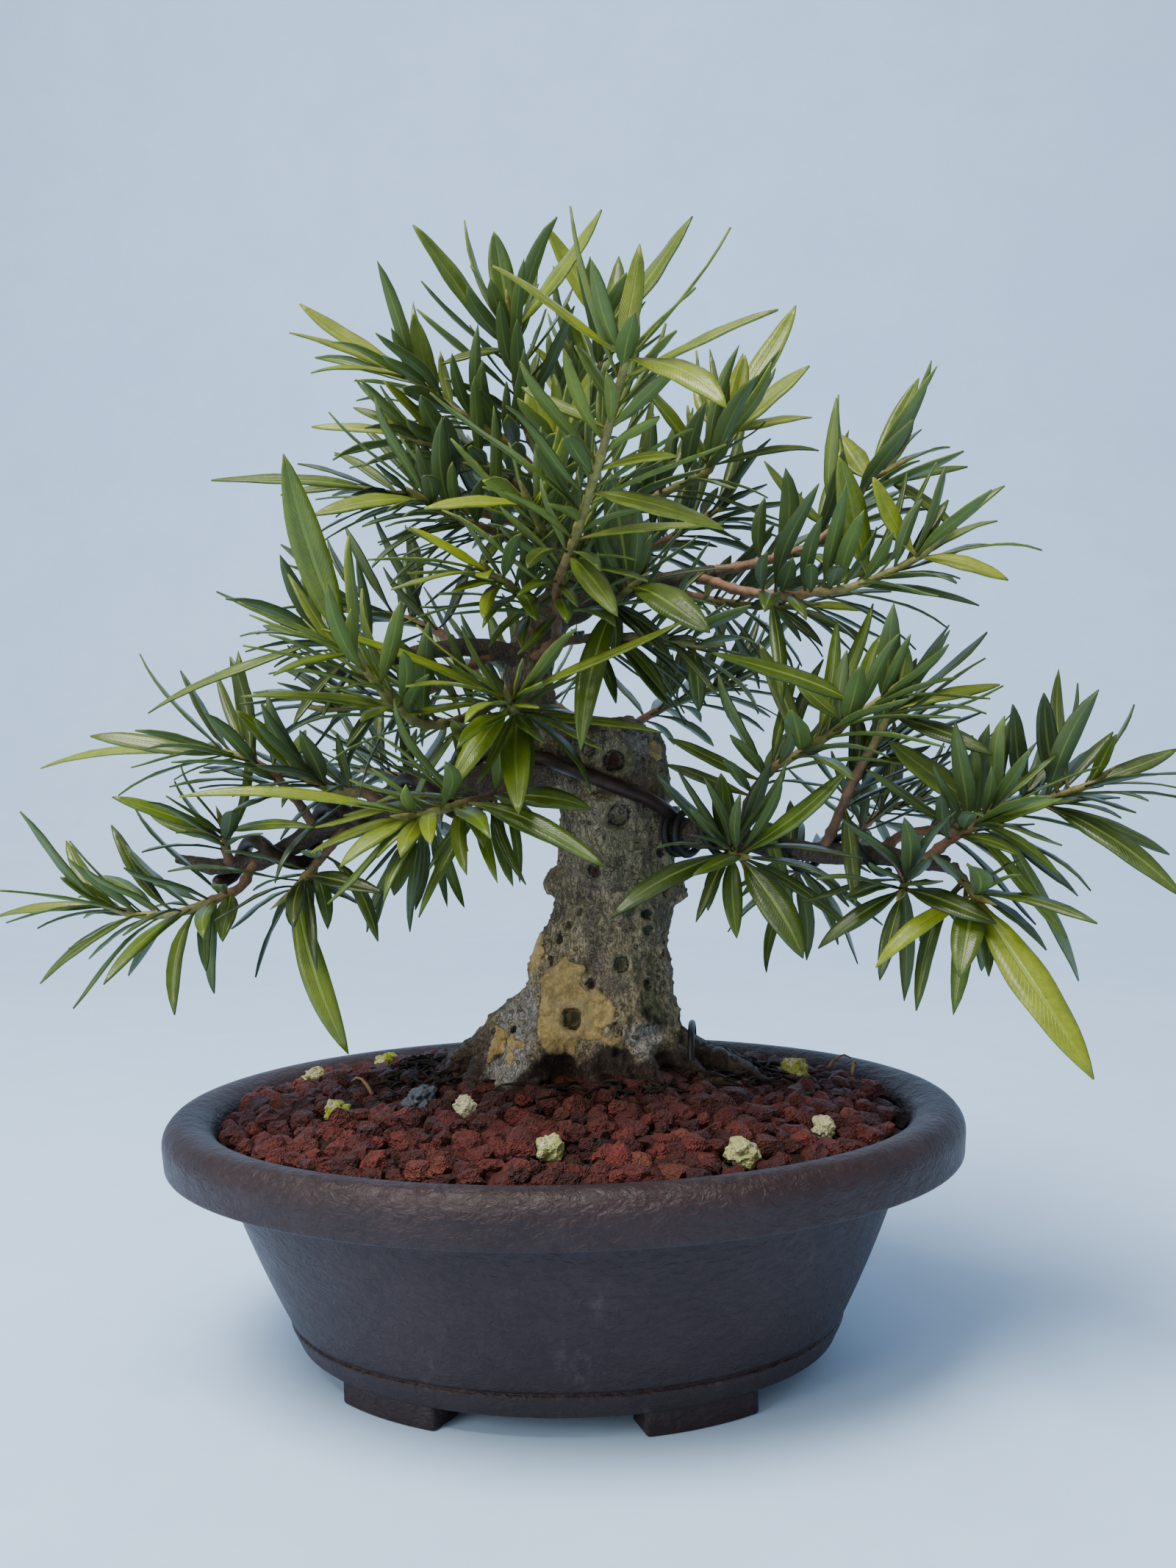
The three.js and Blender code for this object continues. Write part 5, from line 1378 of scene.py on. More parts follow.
def bark_masks(points, normals, relief, radii, on_trunk, scars):
    """What the bark's finish reads at each point."""
    x, _, z = points.T
    front = smooth_step(0.35, -0.05, normals[:, 1])

    def painted(patches, soft):
        return np.max([inside_patch(points[:, [0, 2]], patch, soft) for patch in patches], axis=0) * front

    film = 0.25 + 0.95 * smooth_step(10, 24, x) + 0.6 * painted(MOSS_PATCHES, 1.5)
    thin = 1 - smooth_step(2.6, 6.5, radii)
    wet = (
        smooth_step(58, 46, z),
        smooth_step(24, 28, x) * smooth_step(70, 65, z) * 0.85,
        smooth_step(-15, -20, x) * smooth_step(68, 63, z) * 0.8,
    )
    return {
        "paste": painted(PASTE_PATCHES, 1.0),
        "dark": np.maximum(painted(DARK_PATCHES, 1.2), scars["dark"]),
        "pale": painted(PALE_PATCHES, 2.5),
        "film": film * on_trunk * smooth_step(60, 68, z),
        "thin": np.where(z > 133, np.maximum(thin, 0.55), thin) * smooth_step(66, 72, z),
        "wet": np.max(wet, axis=0),
        # Painted shade: the low parts of the trunk's bark relief are marked to be darkened.
        "hollow": smooth_step(-0.2, -0.9, relief) * on_trunk,
        "heart": scars["heart"],
        "callus": scars["callus"],
        "moss": scars["moss"],
        "cork": corky_dots(points, on_trunk),
        "bite": painted(DARK_PATCHES[:1], 1.0),
    }


def bark_material(settings):
    finish = Finish("bark")
    height_up = finish.node("ShaderNodeSeparateXYZ", {"Vector": finish.place}).outputs["Z"]
    tall = finish.stretched(1, 1, 0.5)
    fissures = finish.cloud(1.3, 6, 0.7, 0.5, tall)
    crack = finish.span(finish.maths("ABSOLUTE", finish.minus(fissures, 0.5)), 0.035, 0.0)
    fine = finish.cloud(2.6, 5, 0.7)
    thin = finish.attribute("thin")
    bare = finish.minus(1.0, thin)
    film = finish.span(finish.cloud(0.2, 5, 0.7, place=finish.stretched(1, 1, 0.6)), 0.46, 0.64)
    film = finish.times(film, finish.attribute("film"), clamp=True)
    pale = finish.total((finish.attribute("pale"), 1), (finish.cloud(0.8, 4, 0.65), 0.5))
    pale = finish.span(pale, 0.62, 0.95)

    # Corky dots in dark rings.
    sparse = finish.span(finish.cloud(0.35, 2), 0.52, 0.44, 0.0, 0.4)
    dots = finish.total((finish.cells(0.42, place=finish.stretched(1, 1, 1.35)), 1), (sparse, 1))
    cork = finish.span(finish.attribute("cork"), 0.15, 0.6)
    cork = finish.times(finish.maths("MAXIMUM", finish.span(dots, 0.24, 0.17), cork), bare)
    ring = finish.times(finish.minus(finish.span(dots, 0.36, 0.25), cork, clamp=True), bare)

    # Ragged edges for the paste and the black bark.
    ragged = finish.times(finish.minus(finish.cloud(0.75, 5, 0.7), 0.5), 0.55)
    paste = finish.span(finish.total((finish.attribute("paste"), 1), (ragged, 1)), 0.47, 0.53)
    dark = finish.span(finish.total((finish.attribute("dark"), 1), (ragged, 1.7)), 0.35, 0.7)
    callus = finish.times(finish.attribute("callus"), finish.span(fine, 0.3, 0.6))

    # The wet foot, with an uneven upper edge.
    foot = finish.total((finish.cloud(0.3, 5, 0.65), 9.0), (height_up, 1))
    wet = finish.times(finish.span(foot, 70.5, 66.0), finish.minus(1.0, finish.times(pale, 0.9)))
    wet = finish.maths("MAXIMUM", wet, finish.attribute("wet"))
    fibres = finish.cloud(0.6, 5, 0.7, place=finish.stretched(1, 1, 0.4))

    cracks = rgba(settings.cracks)
    colour = finish.layered(
        finish.mottled(settings.bark, 0.16, 0.42, 1.65, tall),
        (finish.span(finish.cloud(0.11, 3), 0.5, 0.66), 0.6, ROSY_BARK),
        (thin, 1, finish.mix(fine, rgba(settings.twig, 0.45), rgba(settings.twig, 1.7))),
        (film, 0.85, rgba(settings.algae)),
        (pale, 0.75, finish.mix(fine, *PALE_BARK)),
        (crack, 0.75, cracks),
        (ring, 0.75, cracks),
        (cork, 0.6, finish.mix(fine, *CORK)),
        # Painted shade: the low parts of the bark's relief are darkened.
        (finish.attribute("hollow"), 0.45, rgba(settings.cracks, 0.6)),
        (paste, 1, finish.mottled(settings.paste, 0.22, 0.5, 1.2)),
        (callus, 0.6, CALLUS),
        (finish.attribute("moss"), 1, MOSSY_SCAR),
        (finish.attribute("heart"), 1, SCAR_HEART),
        # Black for the dark bark and scar rims, and painted shade in the cavity under the paste.
        (dark, 0.92, DARK_BARK_AND_SHADE),
        (wet, 1, finish.mix(fibres, rgba(settings.damp, 0.25), rgba(settings.damp, 2.6))),
    )
    bumps = finish.total((fissures, 1), (crack, -0.6), (fine, 0.5), (finish.minus(cork, ring), 0.7))
    smears = finish.times(finish.cloud(0.55, 6, 0.68, 0.8), 3.2)
    return finish.done(
        Base_Color=colour,
        Roughness=finish.total((wet, -0.42), (paste, -0.28), (0.86, 1)),
        Normal=finish.raised(finish.mix(finish.times(paste, 0.9), bumps, smears), 1.0, 0.8),
    )


class BONSAI_OT_wood(bpy.types.Operator):
    """Model the roots, trunk and limbs with their scars and wound paste"""

    bl_idname = "bonsai.wood"
    bl_label = "Wood"

    def execute(self, context):
        settings = context.scene.bonsai_wood
        mesh = wood_body(settings)
        points, normals = np.zeros((2, len(mesh.vertices), 3))
        mesh.vertices.foreach_get("co", points.ravel())
        mesh.vertex_normals.foreach_get("vector", normals.ravel())
        surface = BVHTree.FromPolygons([Vector(p) for p in points], [p.vertices for p in mesh.polygons])
        radii, on_trunk = limb_radii(points)
        relief = bark_relief(points, radii)
        rings, scars = cut_scars(points, surface)
        masks = bark_masks(points, normals, relief, radii, on_trunk, scars)
        paste = masks["paste"]
        lift = relief + rings + CORK_LIFT * masks["cork"] * (1 - paste)
        lift += PASTE_LIFT * smooth_step(0.45, 0.6, paste) - BITE_DEPTH * masks.pop("bite")
        points += normals * lift[:, None]
        mesh.vertices.foreach_set("co", points.ravel())
        for name, values in masks.items():
            mesh.attributes.new(name, "FLOAT", "POINT").data.foreach_set("value", values.astype(np.float32))
        finish_piece("tree_wood", mesh, [bark_material(settings)], ["wood"])
        return {"FINISHED"}


# The wires.
class WireSettings(bpy.types.PropertyGroup):
    thick: colour_setting("Thick wire", "the thick brown wire", (0.035, 0.021, 0.016))
    thin: colour_setting("Thin wire", "the thin dark wire", (0.009, 0.008, 0.008))


# How much lower the thick wire runs at the trunk's right side than a level turn, and from which x to
# which it sinks.
WIRE_SAG = 6.0
SAG_REACH = (-4, 24)
# How loosely a coil lies round its limb.
COIL_LOOSENESS = 1.035


def coil_points(coil, radius, steps_per_turn=20):
    """A coil's route round its limb, as x, y, z and radius."""
    limb, start, end, start_degrees, turns = coil
    steps = math.ceil(abs(turns) * steps_per_turn)
    axis = [place_along(LIMBS[limb], between(start, end, i / steps)) for i in range(steps + 1)]
    points = []
    for i, (point, _, side, up) in enumerate(frames_along(axis)):
        angle = math.radians(start_degrees) + 2 * math.pi * turns * i / steps
        reach = (axis[i][3] + radius + FIT_GAP) * COIL_LOOSENESS
        points.append((*(point + side * (reach * math.cos(angle)) + up * (reach * math.sin(angle))), radius))
    return points


def wire_routes(steps_per_turn=20):
    """Each wire's route as x, y, z and radius."""
    coils = {"branch_wire": BRANCH_WIRE, "coil_wire": COIL_WIRE}
    routes = {
        name: [p for coil in turns for p in coil_points(coil, WIRE_RADII[name], steps_per_turn)]
        for name, turns in coils.items()
    }
    return {**routes, "tie_wire": [(*p, WIRE_RADII["tie_wire"]) for p in TIE_WIRE]}


def wire_material(name, colour, metal, roughness):
    finish = Finish(name)
    scratches = finish.cloud(3.5, 4, 0.7)
    worn = finish.span(finish.cloud(0.55, 5, 0.75), 0.62, 0.75)
    bright = rgba([min(1, c * 4) for c in colour])
    return finish.done(
        Base_Color=finish.layered(finish.mottled(colour, 0.35, 0.7, 1.5), (worn, 0.3, bright)),
        Metallic=metal,
        Roughness=finish.total((scratches, 0.25), (roughness - 0.1, 1)),
        Normal=finish.raised(scratches, 0.5, 0.05),
        Specular_IOR_Level=0.3,
    )


class BONSAI_OT_wires(bpy.types.Operator):
    """Wind the shaping wires round the low limbs, and tie down the right root"""

    bl_idname = "bonsai.wires"
    bl_label = "Wires"

    def execute(self, context):
        settings = context.scene.bonsai_wires
        thick = wire_material("thick_wire", settings.thick, 0.35, 0.42)
        thin = wire_material("thin_wire", settings.thin, 0.0, 0.45)
        for name, route in wire_routes().items():
            finer = smooth_route(route, 1.5 if name == "tie_wire" else 5)
            if name == "branch_wire":
                finer[:, 2] -= WIRE_SAG * smooth_step(*SAG_REACH, finer[:, 0])
            rounded_end = finer[-1] * (1, 1, 1, 0.72)
            rounded_end[:3] += unit(finer[-1][:3] - finer[-2][:3]) * finer[-1][3] * 0.5
            bm = bmesh.new()
            sweep(bm, [*finer, rounded_end], 16)
            bmesh.ops.recalc_face_normals(bm, faces=bm.faces)
            finish_piece(f"round_{name}", bm, [thick if name == "branch_wire" else thin], [name])
        return {"FINISHED"}


# The leafy shoots: where each leaf stands.
class Standing:
    """What stands already, as bars: round stems and limbs, and flat leaves. It holds up to room bars."""

    def __init__(self, room=16000):
        self.count = 0
        self.start, self.end, self.side, self.face = np.zeros((4, room, 3))
        self.width, self.depth = np.zeros((2, room))
        self.owner, self.near_root, self.flat = np.zeros(room, int), np.zeros(room, bool), np.zeros(room, bool)

    def add(self, owner, start, end, width, depth=0.0, side=None, face=None, near_root=False):
        i = self.count
        self.start[i], self.end[i], self.width[i], self.depth[i] = start, end, width, depth
        self.owner[i], self.near_root[i], self.flat[i] = owner, near_root, side is not None
        if side is not None:
            self.side[i], self.face[i] = side, face
        self.count += 1

    def add_routes(self, routes):
        """Adds the bars of routes, each given with its owner's number."""
        for owner, route in routes:
            for a, b in zip(route, route[1:]):
                self.add(owner, a[:3], b[:3], max(a[3], b[3]))

    def clear(self, bar, owner, first, clearance):
        """Whether a flat bar of a leaf stays clear of all that stands, but for its own stem and neighbours."""
        n = self.count
        start, end, width, depth, side, face = bar
        # Where the middle lines come nearest: s of the way along the new bar, t along each standing one.
        d1 = end - start
        d2 = self.end[:n] - self.start[:n]
        r = start - self.start[:n]
        a, e = d1 @ d1, np.einsum("ij,ij->i", d2, d2)
        f, c, b = np.einsum("ij,ij->i", d2, r), r @ d1, d2 @ d1
        below = a * e - b * b
        s = np.where(below > 1e-9, np.clip((b * f - c * e) / np.where(below > 1e-9, below, 1), 0, 1), 0)
        t = (b * s + f) / e
        s = np.where(t < 0, np.clip(-c / a, 0, 1), np.where(t > 1, np.clip((b - c) / a, 0, 1), s))
        t = np.clip(t, 0, 1)
        way = (self.start[:n] + t[:, None] * d2) - (start + s[:, None] * d1)
        gap = np.linalg.norm(way, axis=1)
        way = way / np.maximum(gap, 1e-9)[:, None]
        mine = width * np.abs(way @ side) + depth * np.abs(way @ face)
        across = np.abs(np.einsum("ij,ij->i", way, self.side[:n]))
        through = np.abs(np.einsum("ij,ij->i", way, self.face[:n]))
        theirs = np.where(self.flat[:n], self.width[:n] * across + self.depth[:n] * through, self.width[:n])
        hit = (gap < mine + theirs + clearance) & (gap <= width + self.width[:n] + clearance) | (gap < 0.01)
        own = (self.owner[:n] == owner) & (~self.flat[:n] | first | self.near_root[:n])
        return not np.any(hit & ~own)


class Leaf:
    """A leaf from its root to its tip, looking the way of its face."""

    def __init__(self, shoot, share, tip, width, facing, listed):
        self.root = shoot.place(share)
        self.tip = np.array(tip, float)
        self.length = np.linalg.norm(self.tip - self.root)
        self.along = unit(self.tip - self.root)
        self.face = unit(facing - self.along * (facing @ self.along))
        self.side = np.cross(self.face, self.along)
        self.shoot, self.share, self.width, self.listed = shoot, share, width, listed

    def rib(self, share):
        bow = LEAF_ARCH - LEAF_SWEEP * max(self.along[2], 0)
        return self.root + (self.tip - self.root) * share + self.face * (bow * self.length * 4 * share * (1 - share))

    def bars(self, thickness):
        """The leaf as three flat bars."""
        half = max(self.width, NARROWEST_LEAF) / 2
        ribs = [self.rib(share) for share in (0, 0.36, 0.7, 1)]
        return [
            (start, end, half * share, thickness / 2, self.side, self.face)
            for start, end, share in zip(ribs, ribs[1:], (0.8, 1, 0.7))
        ]

    def has_room(self, standing, clearance, thickness):
        if min(self.root[2], self.tip[2]) < LOWEST_LEAF:
            return False
        bars = enumerate(self.bars(thickness))
        return all(standing.clear(bar, self.shoot.number, i == 0, clearance) for i, bar in bars)

    def settle(self, standing, thickness):
        for i, bar in enumerate(self.bars(thickness)):
            standing.add(self.shoot.number, *bar, near_root=i == 0)
        self.shoot.leaves.append(self)


def shoot_start(limb, stem, radius):
    """Where a shoot leaves the side or the end of its limb, and the limb's middle there."""
    path = [np.array(p, float) for p in LIMBS[limb]]
    root, toward = np.array(stem[0], float), np.array(stem[1], float)
    nearest = None
    for i, (a, b) in enumerate(zip(path, path[1:])):
        way = b[:3] - a[:3]
        share = float(np.clip((root - a[:3]) @ way / (way @ way), 0, 1))
        point = a[:3] + way * share
        gap = np.linalg.norm(point - root)
        if nearest is None or gap < nearest[0]:
            nearest = (gap, point, unit(way), between(a[3], b[3], share), i + 2 == len(path) and share == 1)
    _, point, along, thickness, at_end = nearest
    way = unit(toward - point)
    cosine = way @ along
    sine = math.sqrt(1 - cosine * cosine)
    if at_end and cosine > 0.5:
        reach = (FIT_GAP + 0.05 + radius * sine) / cosine
    else:
        reach = (thickness + FIT_GAP + 0.05 + radius * abs(cosine)) / sine
    return point + way * reach, point


class Shoot:
    """A leafy shoot: its stem's route as x, y, z and radius, and its leaves."""

    def __init__(self, name, number, limb, stem, listed):
        self.name, self.number, self.listed, self.leaves = name, number, listed, []
        start, self.limb_middle = shoot_start(limb, stem, SHOOT_RADII[0])
        route = [start, *(np.array(p, float) for p in stem[1:])]
        self.route = [(*p, between(*SHOOT_RADII, i / (len(route) - 1))) for i, p in enumerate(route)]
        self.length = float(distances_along(self.route)[-1])

    def place(self, share, further=0.0):
        """The place that share of the way along the stem, stopping short of its tip."""
        return place_along(self.route, min(share * self.length, self.length - 0.8) + further)[:3]


def set_listed_leaf(shoot, entry, standing):
    """Sets a large leaf at its own tip, or as little nearer or further as finds it room."""
    share, x, y, z, width = entry
    for shift in DEPTH_SHIFTS:
        leaf = Leaf(shoot, share, (x, y + shift, z), width, np.array((0, -0.6, 0.6)), True)
        if leaf.has_room(standing, LEAF_CLEARANCE, SOLID_LEAF_THICKNESS):
            leaf.settle(standing, SOLID_LEAF_THICKNESS)
            break


def set_small_leaves(shoot, kind, more, standing):
    """Sets small leaves in a spiral up the shoot, each turned until it finds room."""
    draw = drawer(kind["seed"] + shoot.number * kind["seed_step"])
    count = math.floor((kind["fewest"] + shoot.length / kind["stem_per_leaf"]) * more + 0.5)
    for number in range(count):
        share = between(0.2, 1, (number + 0.7) / count)
        root = shoot.place(share)
        along = unit(shoot.place(share, 0.5) - root)
        side = unit(np.cross(along, (0.3, 1, 0.2)))
        other = np.cross(along, side)
        length, width = between(*kind["lengths"], next(draw)), between(*kind["widths"], next(draw))
        rise = 0.35 + 0.9 * share * share + 0.3 * next(draw)
        start = number * SPIRAL_TURN + shoot.number + next(draw) * 0.8
        for turn in kind["turns"]:
            outward = side * math.cos(start + turn) + other * math.sin(start + turn)
            tip = root + unit(outward + along * rise + np.array((0, 0, 0.25))) * length
            leaf = Leaf(shoot, share, tip, width, outward * -0.3 + np.array((0, 0, 1.0)), False)
            if leaf.has_room(standing, kind["clearance"], kind["thickness"]):
                if np.all(leaf.tip > kind["low"]) and np.all(leaf.tip < kind["high"]):
                    leaf.settle(standing, kind["thickness"])
                break


def grow_shoots(settings):
    """Sets every leaf: those of the solids first, and then more small ones between them."""
    standing = Standing()
    shoots = [Shoot(name, i, *entry) for i, (name, entry) in enumerate(SHOOTS.items())]
    standing.add_routes((-1 - i, path) for i, path in enumerate(LIMBS.values()))
    standing.add_routes((-50 - i, route) for i, route in enumerate(wire_routes(8).values()))
    standing.add_routes((shoot.number, shoot.route) for shoot in shoots)
    for shoot in shoots:
        for entry in shoot.listed:
            set_listed_leaf(shoot, entry, standing)
    for kind, more in ((SOLID_SMALL_LEAVES, 1), (ADDED_SMALL_LEAVES, settings.more_leaves)):
        for shoot in shoots:
            set_small_leaves(shoot, kind, more, standing)
    return shoots


# The leafy shoots: their shapes and finishes.
class LeafSettings(bpy.types.PropertyGroup):
    old: colour_setting("Old leaves", "the dark old leaves", (0.02, 0.036, 0.0025))
    grown: colour_setting("Grown leaves", "the mid green leaves", (0.062, 0.105, 0.004))
    young: colour_setting("Young leaves", "the youngest leaves", (0.215, 0.26, 0.008))
    rib: colour_setting("Midrib", "the pale midrib", (0.27, 0.36, 0.07))
    twig: colour_setting("Twig", "the woody part of the stems", (0.19, 0.1, 0.05))
    green_stem: colour_setting("Green stem", "the young part of the stems", (0.19, 0.18, 0.045))
    petiole: colour_setting("Petiole", "the leaves' short stalks", (0.24, 0.14, 0.05))
    thickness: number_setting("Leaf thickness", "Millimetres through a leaf", 0.34, min=0.1, max=1)
    more_leaves: number_setting("More leaves", "How many small leaves are added, 0 for none", 1.0, min=0, max=2)


# How young a shoot's leaves look, from 0 to 1, by a word in its name, and those of other shoots.
YOUTH_BY_NAME = {"front": 0.62, "crown": 0.5, "leader": 0.5, "end": 0.35, "up": 0.35, "long": 0.4}
YOUTH_ELSEWHERE = 0.12
YOUTH_SPREAD = (-0.16, 0.26)
LARGE_LEAF_YOUTH = 0.1
# Some of the large leaves at a shoot's tip are much younger.
TIP_SHARE, FRESH_TIP_CHANCE, FRESH_TIP_YOUTH = 0.9, 0.22, 0.45
LEAF_SHADES = (0.85, 1.2)
UNDERSIDE_GREEN = (0.12, 0.17, 0.07, 1)
# The faces along and across a large leaf and a small one.
LARGE_LEAF_GRID = (14, 4)
SMALL_LEAF_GRID = (8, 2)
# A leaf's stalk, as a share of its length and of half its width, and how blunt its tip is.
STALK_LENGTH, STALK_WIDTH, TIP_WIDTH = 0.1, 0.17, 0.035
# How far a leaf bends sideways and curls, as shares of its length, how far it twists in radians,
# and how steeply its halves fold up; small leaves are looser and fuller.
LEAF_SWAY, LEAF_CURL, LEAF_TWIST, LEAF_FOLDS = 0.08, 0.07, 0.9, (0.18, 0.5)
SMALL_LEAF_LOOSENESS, SMALL_LEAF_FULLNESS = 1.9, 1.04
# How far its edges droop and ripple, as shares of half its width, and how pale the midrib is.
EDGE_DROOP, EDGE_RIPPLE, RIB_PALENESS = 0.22, 0.05, 0.62
# The stems swell at every bud, and turn from wood to green somewhere along them.
BUD_SPACING, BUD_LENGTH, BUD_SWELL = 4.2, 0.55, 0.28
GREEN_FROM = (0.3, 0.75)
# The bare spike that ends each stem, as [distance past its last point, radius].
STEM_SPIKE = ((1.2, 0.75), (2.6, 0.62), (4.2, 0.36), (5.8, 0.06))
LEAFY_SEED = 300


def leaf_material(name, settings, underside):
    finish = Finish(name)
    unrolled = finish.node("ShaderNodeUVMap", uv_map="leaf").outputs["UV"]
    along, across, _ = finish.node("ShaderNodeSeparateXYZ", {"Vector": unrolled}).outputs
    from_rib = finish.maths("ABSOLUTE", finish.minus(across, 0.5))
    rib = finish.times(finish.span(from_rib, 0.075, 0.03), finish.span(along, 1.0, 0.2, 0.35, 1.0))
    waves = finish.times(finish.total((along, 34.0), (from_rib, -9.0)), 2 * math.pi)
    vein = finish.span(finish.maths("SINE", waves), 0.55, 1.0)
    rib_tint = finish.attribute("rib_tint", "Color")
    colour = finish.tinted(finish.mottle(0.25, (0.75, 0.78, 0.7, 1), (1.2, 1.15, 1.0, 1)))
    colour = finish.layered(colour, (vein, 0.16, rib_tint))
    if underside:
        colour = finish.mix(0.4, colour, UNDERSIDE_GREEN)
    colour = finish.layered(
        colour, (rib, 0.8, rib_tint), (finish.attribute("stalk"), 1, rgba(settings.petiole))
    )
    height = finish.total((vein, 0.25), (rib, 1.0 if underside else -1.0), (finish.cloud(0.9, 3), 0.5))
    return finish.done(
        Base_Color=colour,
        Roughness=finish.total((finish.cloud(0.5, 3), 0.18), (0.42 if underside else 0.24, 1)),
        Normal=finish.raised(height, 0.8, 0.16),
        Specular_IOR_Level=0.35 if underside else 0.5,
    )


def stem_material():
    finish = Finish("shoot_stem")
    tone = finish.mottle(0.5, (0.6, 0.6, 0.6, 1), (1.3, 1.25, 1.2, 1))
    bumps = finish.raised(finish.cloud(1.6, 5, 0.65), 0.9, 0.25)
    return finish.done(Base_Color=finish.tinted(tone), Roughness=0.62, Normal=bumps)


def leaf_half_width(share):
    """Half a leaf's width along it, as a share of its widest: a narrow stalk, and then the blade."""
    if share < STALK_LENGTH:
        return STALK_WIDTH
    blade = (share - STALK_LENGTH) / (1 - STALK_LENGTH)
    return max(STALK_WIDTH * (1 - blade), blade**0.68 * (1 - blade) ** 0.8 / 0.353, TIP_WIDTH)


def add_leaf(bm, leaf, settings, draw, tint):
    """A pointed blade on its stalk: a grid bent to the leaf's line and given its underside."""
    colours = bm.verts.layers.float_color
    tint_layer, rib_layer, stalk_layer = colours["tint"], colours["rib_tint"], bm.verts.layers.float["stalk"]
    along_cuts, across_cuts = LARGE_LEAF_GRID if leaf.listed else SMALL_LEAF_GRID
    made = bmesh.ops.create_grid(bm, x_segments=along_cuts, y_segments=across_cuts, size=0.5, calc_uvs=True)
    verts = made["verts"]
    faces = list({f for v in verts for f in v.link_faces})
    half = leaf.width / 2 * (1 if leaf.listed else SMALL_LEAF_FULLNESS)
    loose = leaf.length * (1 if leaf.listed else SMALL_LEAF_LOOSENESS)
    sway = (next(draw) - 0.5) * LEAF_SWAY * loose
    twist = (next(draw) - 0.5) * LEAF_TWIST
    curl = (next(draw) - 0.5) * LEAF_CURL * loose
    fold = between(*LEAF_FOLDS, next(draw))
    ripple = next(draw) * 6
    rib_tint = [between(a, b, RIB_PALENESS) for a, b in zip(tint, settings.rib)]
    for v in verts:
        share, across = v.co.x + 0.5, v.co.y * 2
        bend = 4 * share * (1 - share)
        angle = twist * (share - 0.3)
        side = leaf.side * math.cos(angle) + leaf.face * math.sin(angle)
        face = leaf.face * math.cos(angle) - leaf.side * math.sin(angle)
        reach = half * leaf_half_width(share)
        rise = reach * (fold * abs(across) - EDGE_DROOP * across * across)
        rise += EDGE_RIPPLE * reach * math.sin(share * 19 + ripple) * across
        middle = leaf.rib(share) + leaf.side * (sway * bend) + leaf.face * (curl * bend * (1 - 2 * share))
        v.co = middle + side * (reach * across) + face * (rise + settings.thickness / 2)
        v[tint_layer] = (*tint, 1)
        v[rib_layer] = (*rib_tint, 1)
        v[stalk_layer] = float(smooth_step(0.13, 0.03, share)) * 0.9
    under = bmesh.ops.extrude_face_region(bm, geom=faces, use_keep_orig=True)["geom"]
    for v in (g for g in under if isinstance(g, bmesh.types.BMVert)):
        v.co -= Vector(leaf.face) * settings.thickness
    for f in (g for g in under if isinstance(g, bmesh.types.BMFace)):
        f.material_index = 2
    for f in faces:
        f.material_index = 1


def leaf_tint(leaf, settings, draw):
    """A leaf's colour from how young its place on the shoot is."""
    words = [share for word, share in YOUTH_BY_NAME.items() if word in leaf.shoot.name]
    youth = max(words or [YOUTH_ELSEWHERE]) * (0.35 + 0.65 * leaf.share) + between(*YOUTH_SPREAD, next(draw))
    if leaf.listed:
        youth += LARGE_LEAF_YOUTH
    if leaf.listed and leaf.share > TIP_SHARE and next(draw) < FRESH_TIP_CHANCE:
        youth += FRESH_TIP_YOUTH
    youth = min(max(youth, 0), 1) * 2
    if youth < 1:
        colour = [between(a, b, youth) for a, b in zip(settings.old, settings.grown)]
    else:
        colour = [between(a, b, youth - 1) for a, b in zip(settings.grown, settings.young)]
    shade = between(*LEAF_SHADES, next(draw))
    return [c * shade for c in colour]


def add_stem(bm, shoot, settings, draw):
    """The knobby stem, from inside the bark of its limb to the spike at its tip."""
    start = between(shoot.limb_middle, np.array(shoot.route[0][:3]), 0.35)
    route = smooth_route([(*start, SHOOT_RADII[0] * 1.15), *shoot.route], 1.1)
    distances = distances_along(route)
    phase = next(draw) * 4
    for point, distance in zip(route, distances):
        bud = math.exp(-((((distance + phase) % BUD_SPACING - BUD_SPACING / 2) / BUD_LENGTH) ** 2))
        point[3] *= 0.9 + BUD_SWELL * bud
    tip_way = unit(route[-1][:3] - route[-3][:3])
    lean = unit(tip_way + np.array((next(draw) - 0.5, next(draw) - 0.5, 0.4)) * 0.5)
    whole = np.vstack([route, *((*(route[-1][:3] + lean * reach), radius) for reach, radius in STEM_SPIKE)])
    green_from = between(*GREEN_FROM, next(draw))
    tints = []
    for distance in distances_along(whole):
        greenness = float(smooth_step(green_from - 0.2, green_from + 0.25, distance / distances[-1]))
        tints.append([between(a, b, greenness) for a, b in zip(settings.twig, settings.green_stem)])
    sweep(bm, whole, 8, tints)


class BONSAI_OT_shoots(bpy.types.Operator):
    """Grow the leafy shoots: their stems, their large leaves and the small ones between"""

    bl_idname = "bonsai.shoots"
    bl_label = "Leafy shoots"

    def execute(self, context):
        settings = context.scene.bonsai_leaves
        blades = [leaf_material(name, settings, name == "leaf_underside") for name in ("leaf_top", "leaf_underside")]
        materials = [stem_material(), *blades]
        for shoot in grow_shoots(settings):
            draw = drawer(LEAFY_SEED + 17 * shoot.number)
            bm = bmesh.new()
            bm.loops.layers.uv.new("leaf")
            for name in ("tint", "rib_tint"):
                bm.verts.layers.float_color.new(name)
            bm.verts.layers.float.new("stalk")
            add_stem(bm, shoot, settings, draw)
            for leaf in shoot.leaves:
                add_leaf(bm, leaf, settings, draw, leaf_tint(leaf, settings, draw))
            bmesh.ops.recalc_face_normals(bm, faces=bm.faces)
            finish_piece(f"leafy_{shoot.name}", bm, materials, [f"shoot_{shoot.name}"])
        return {"FINISHED"}


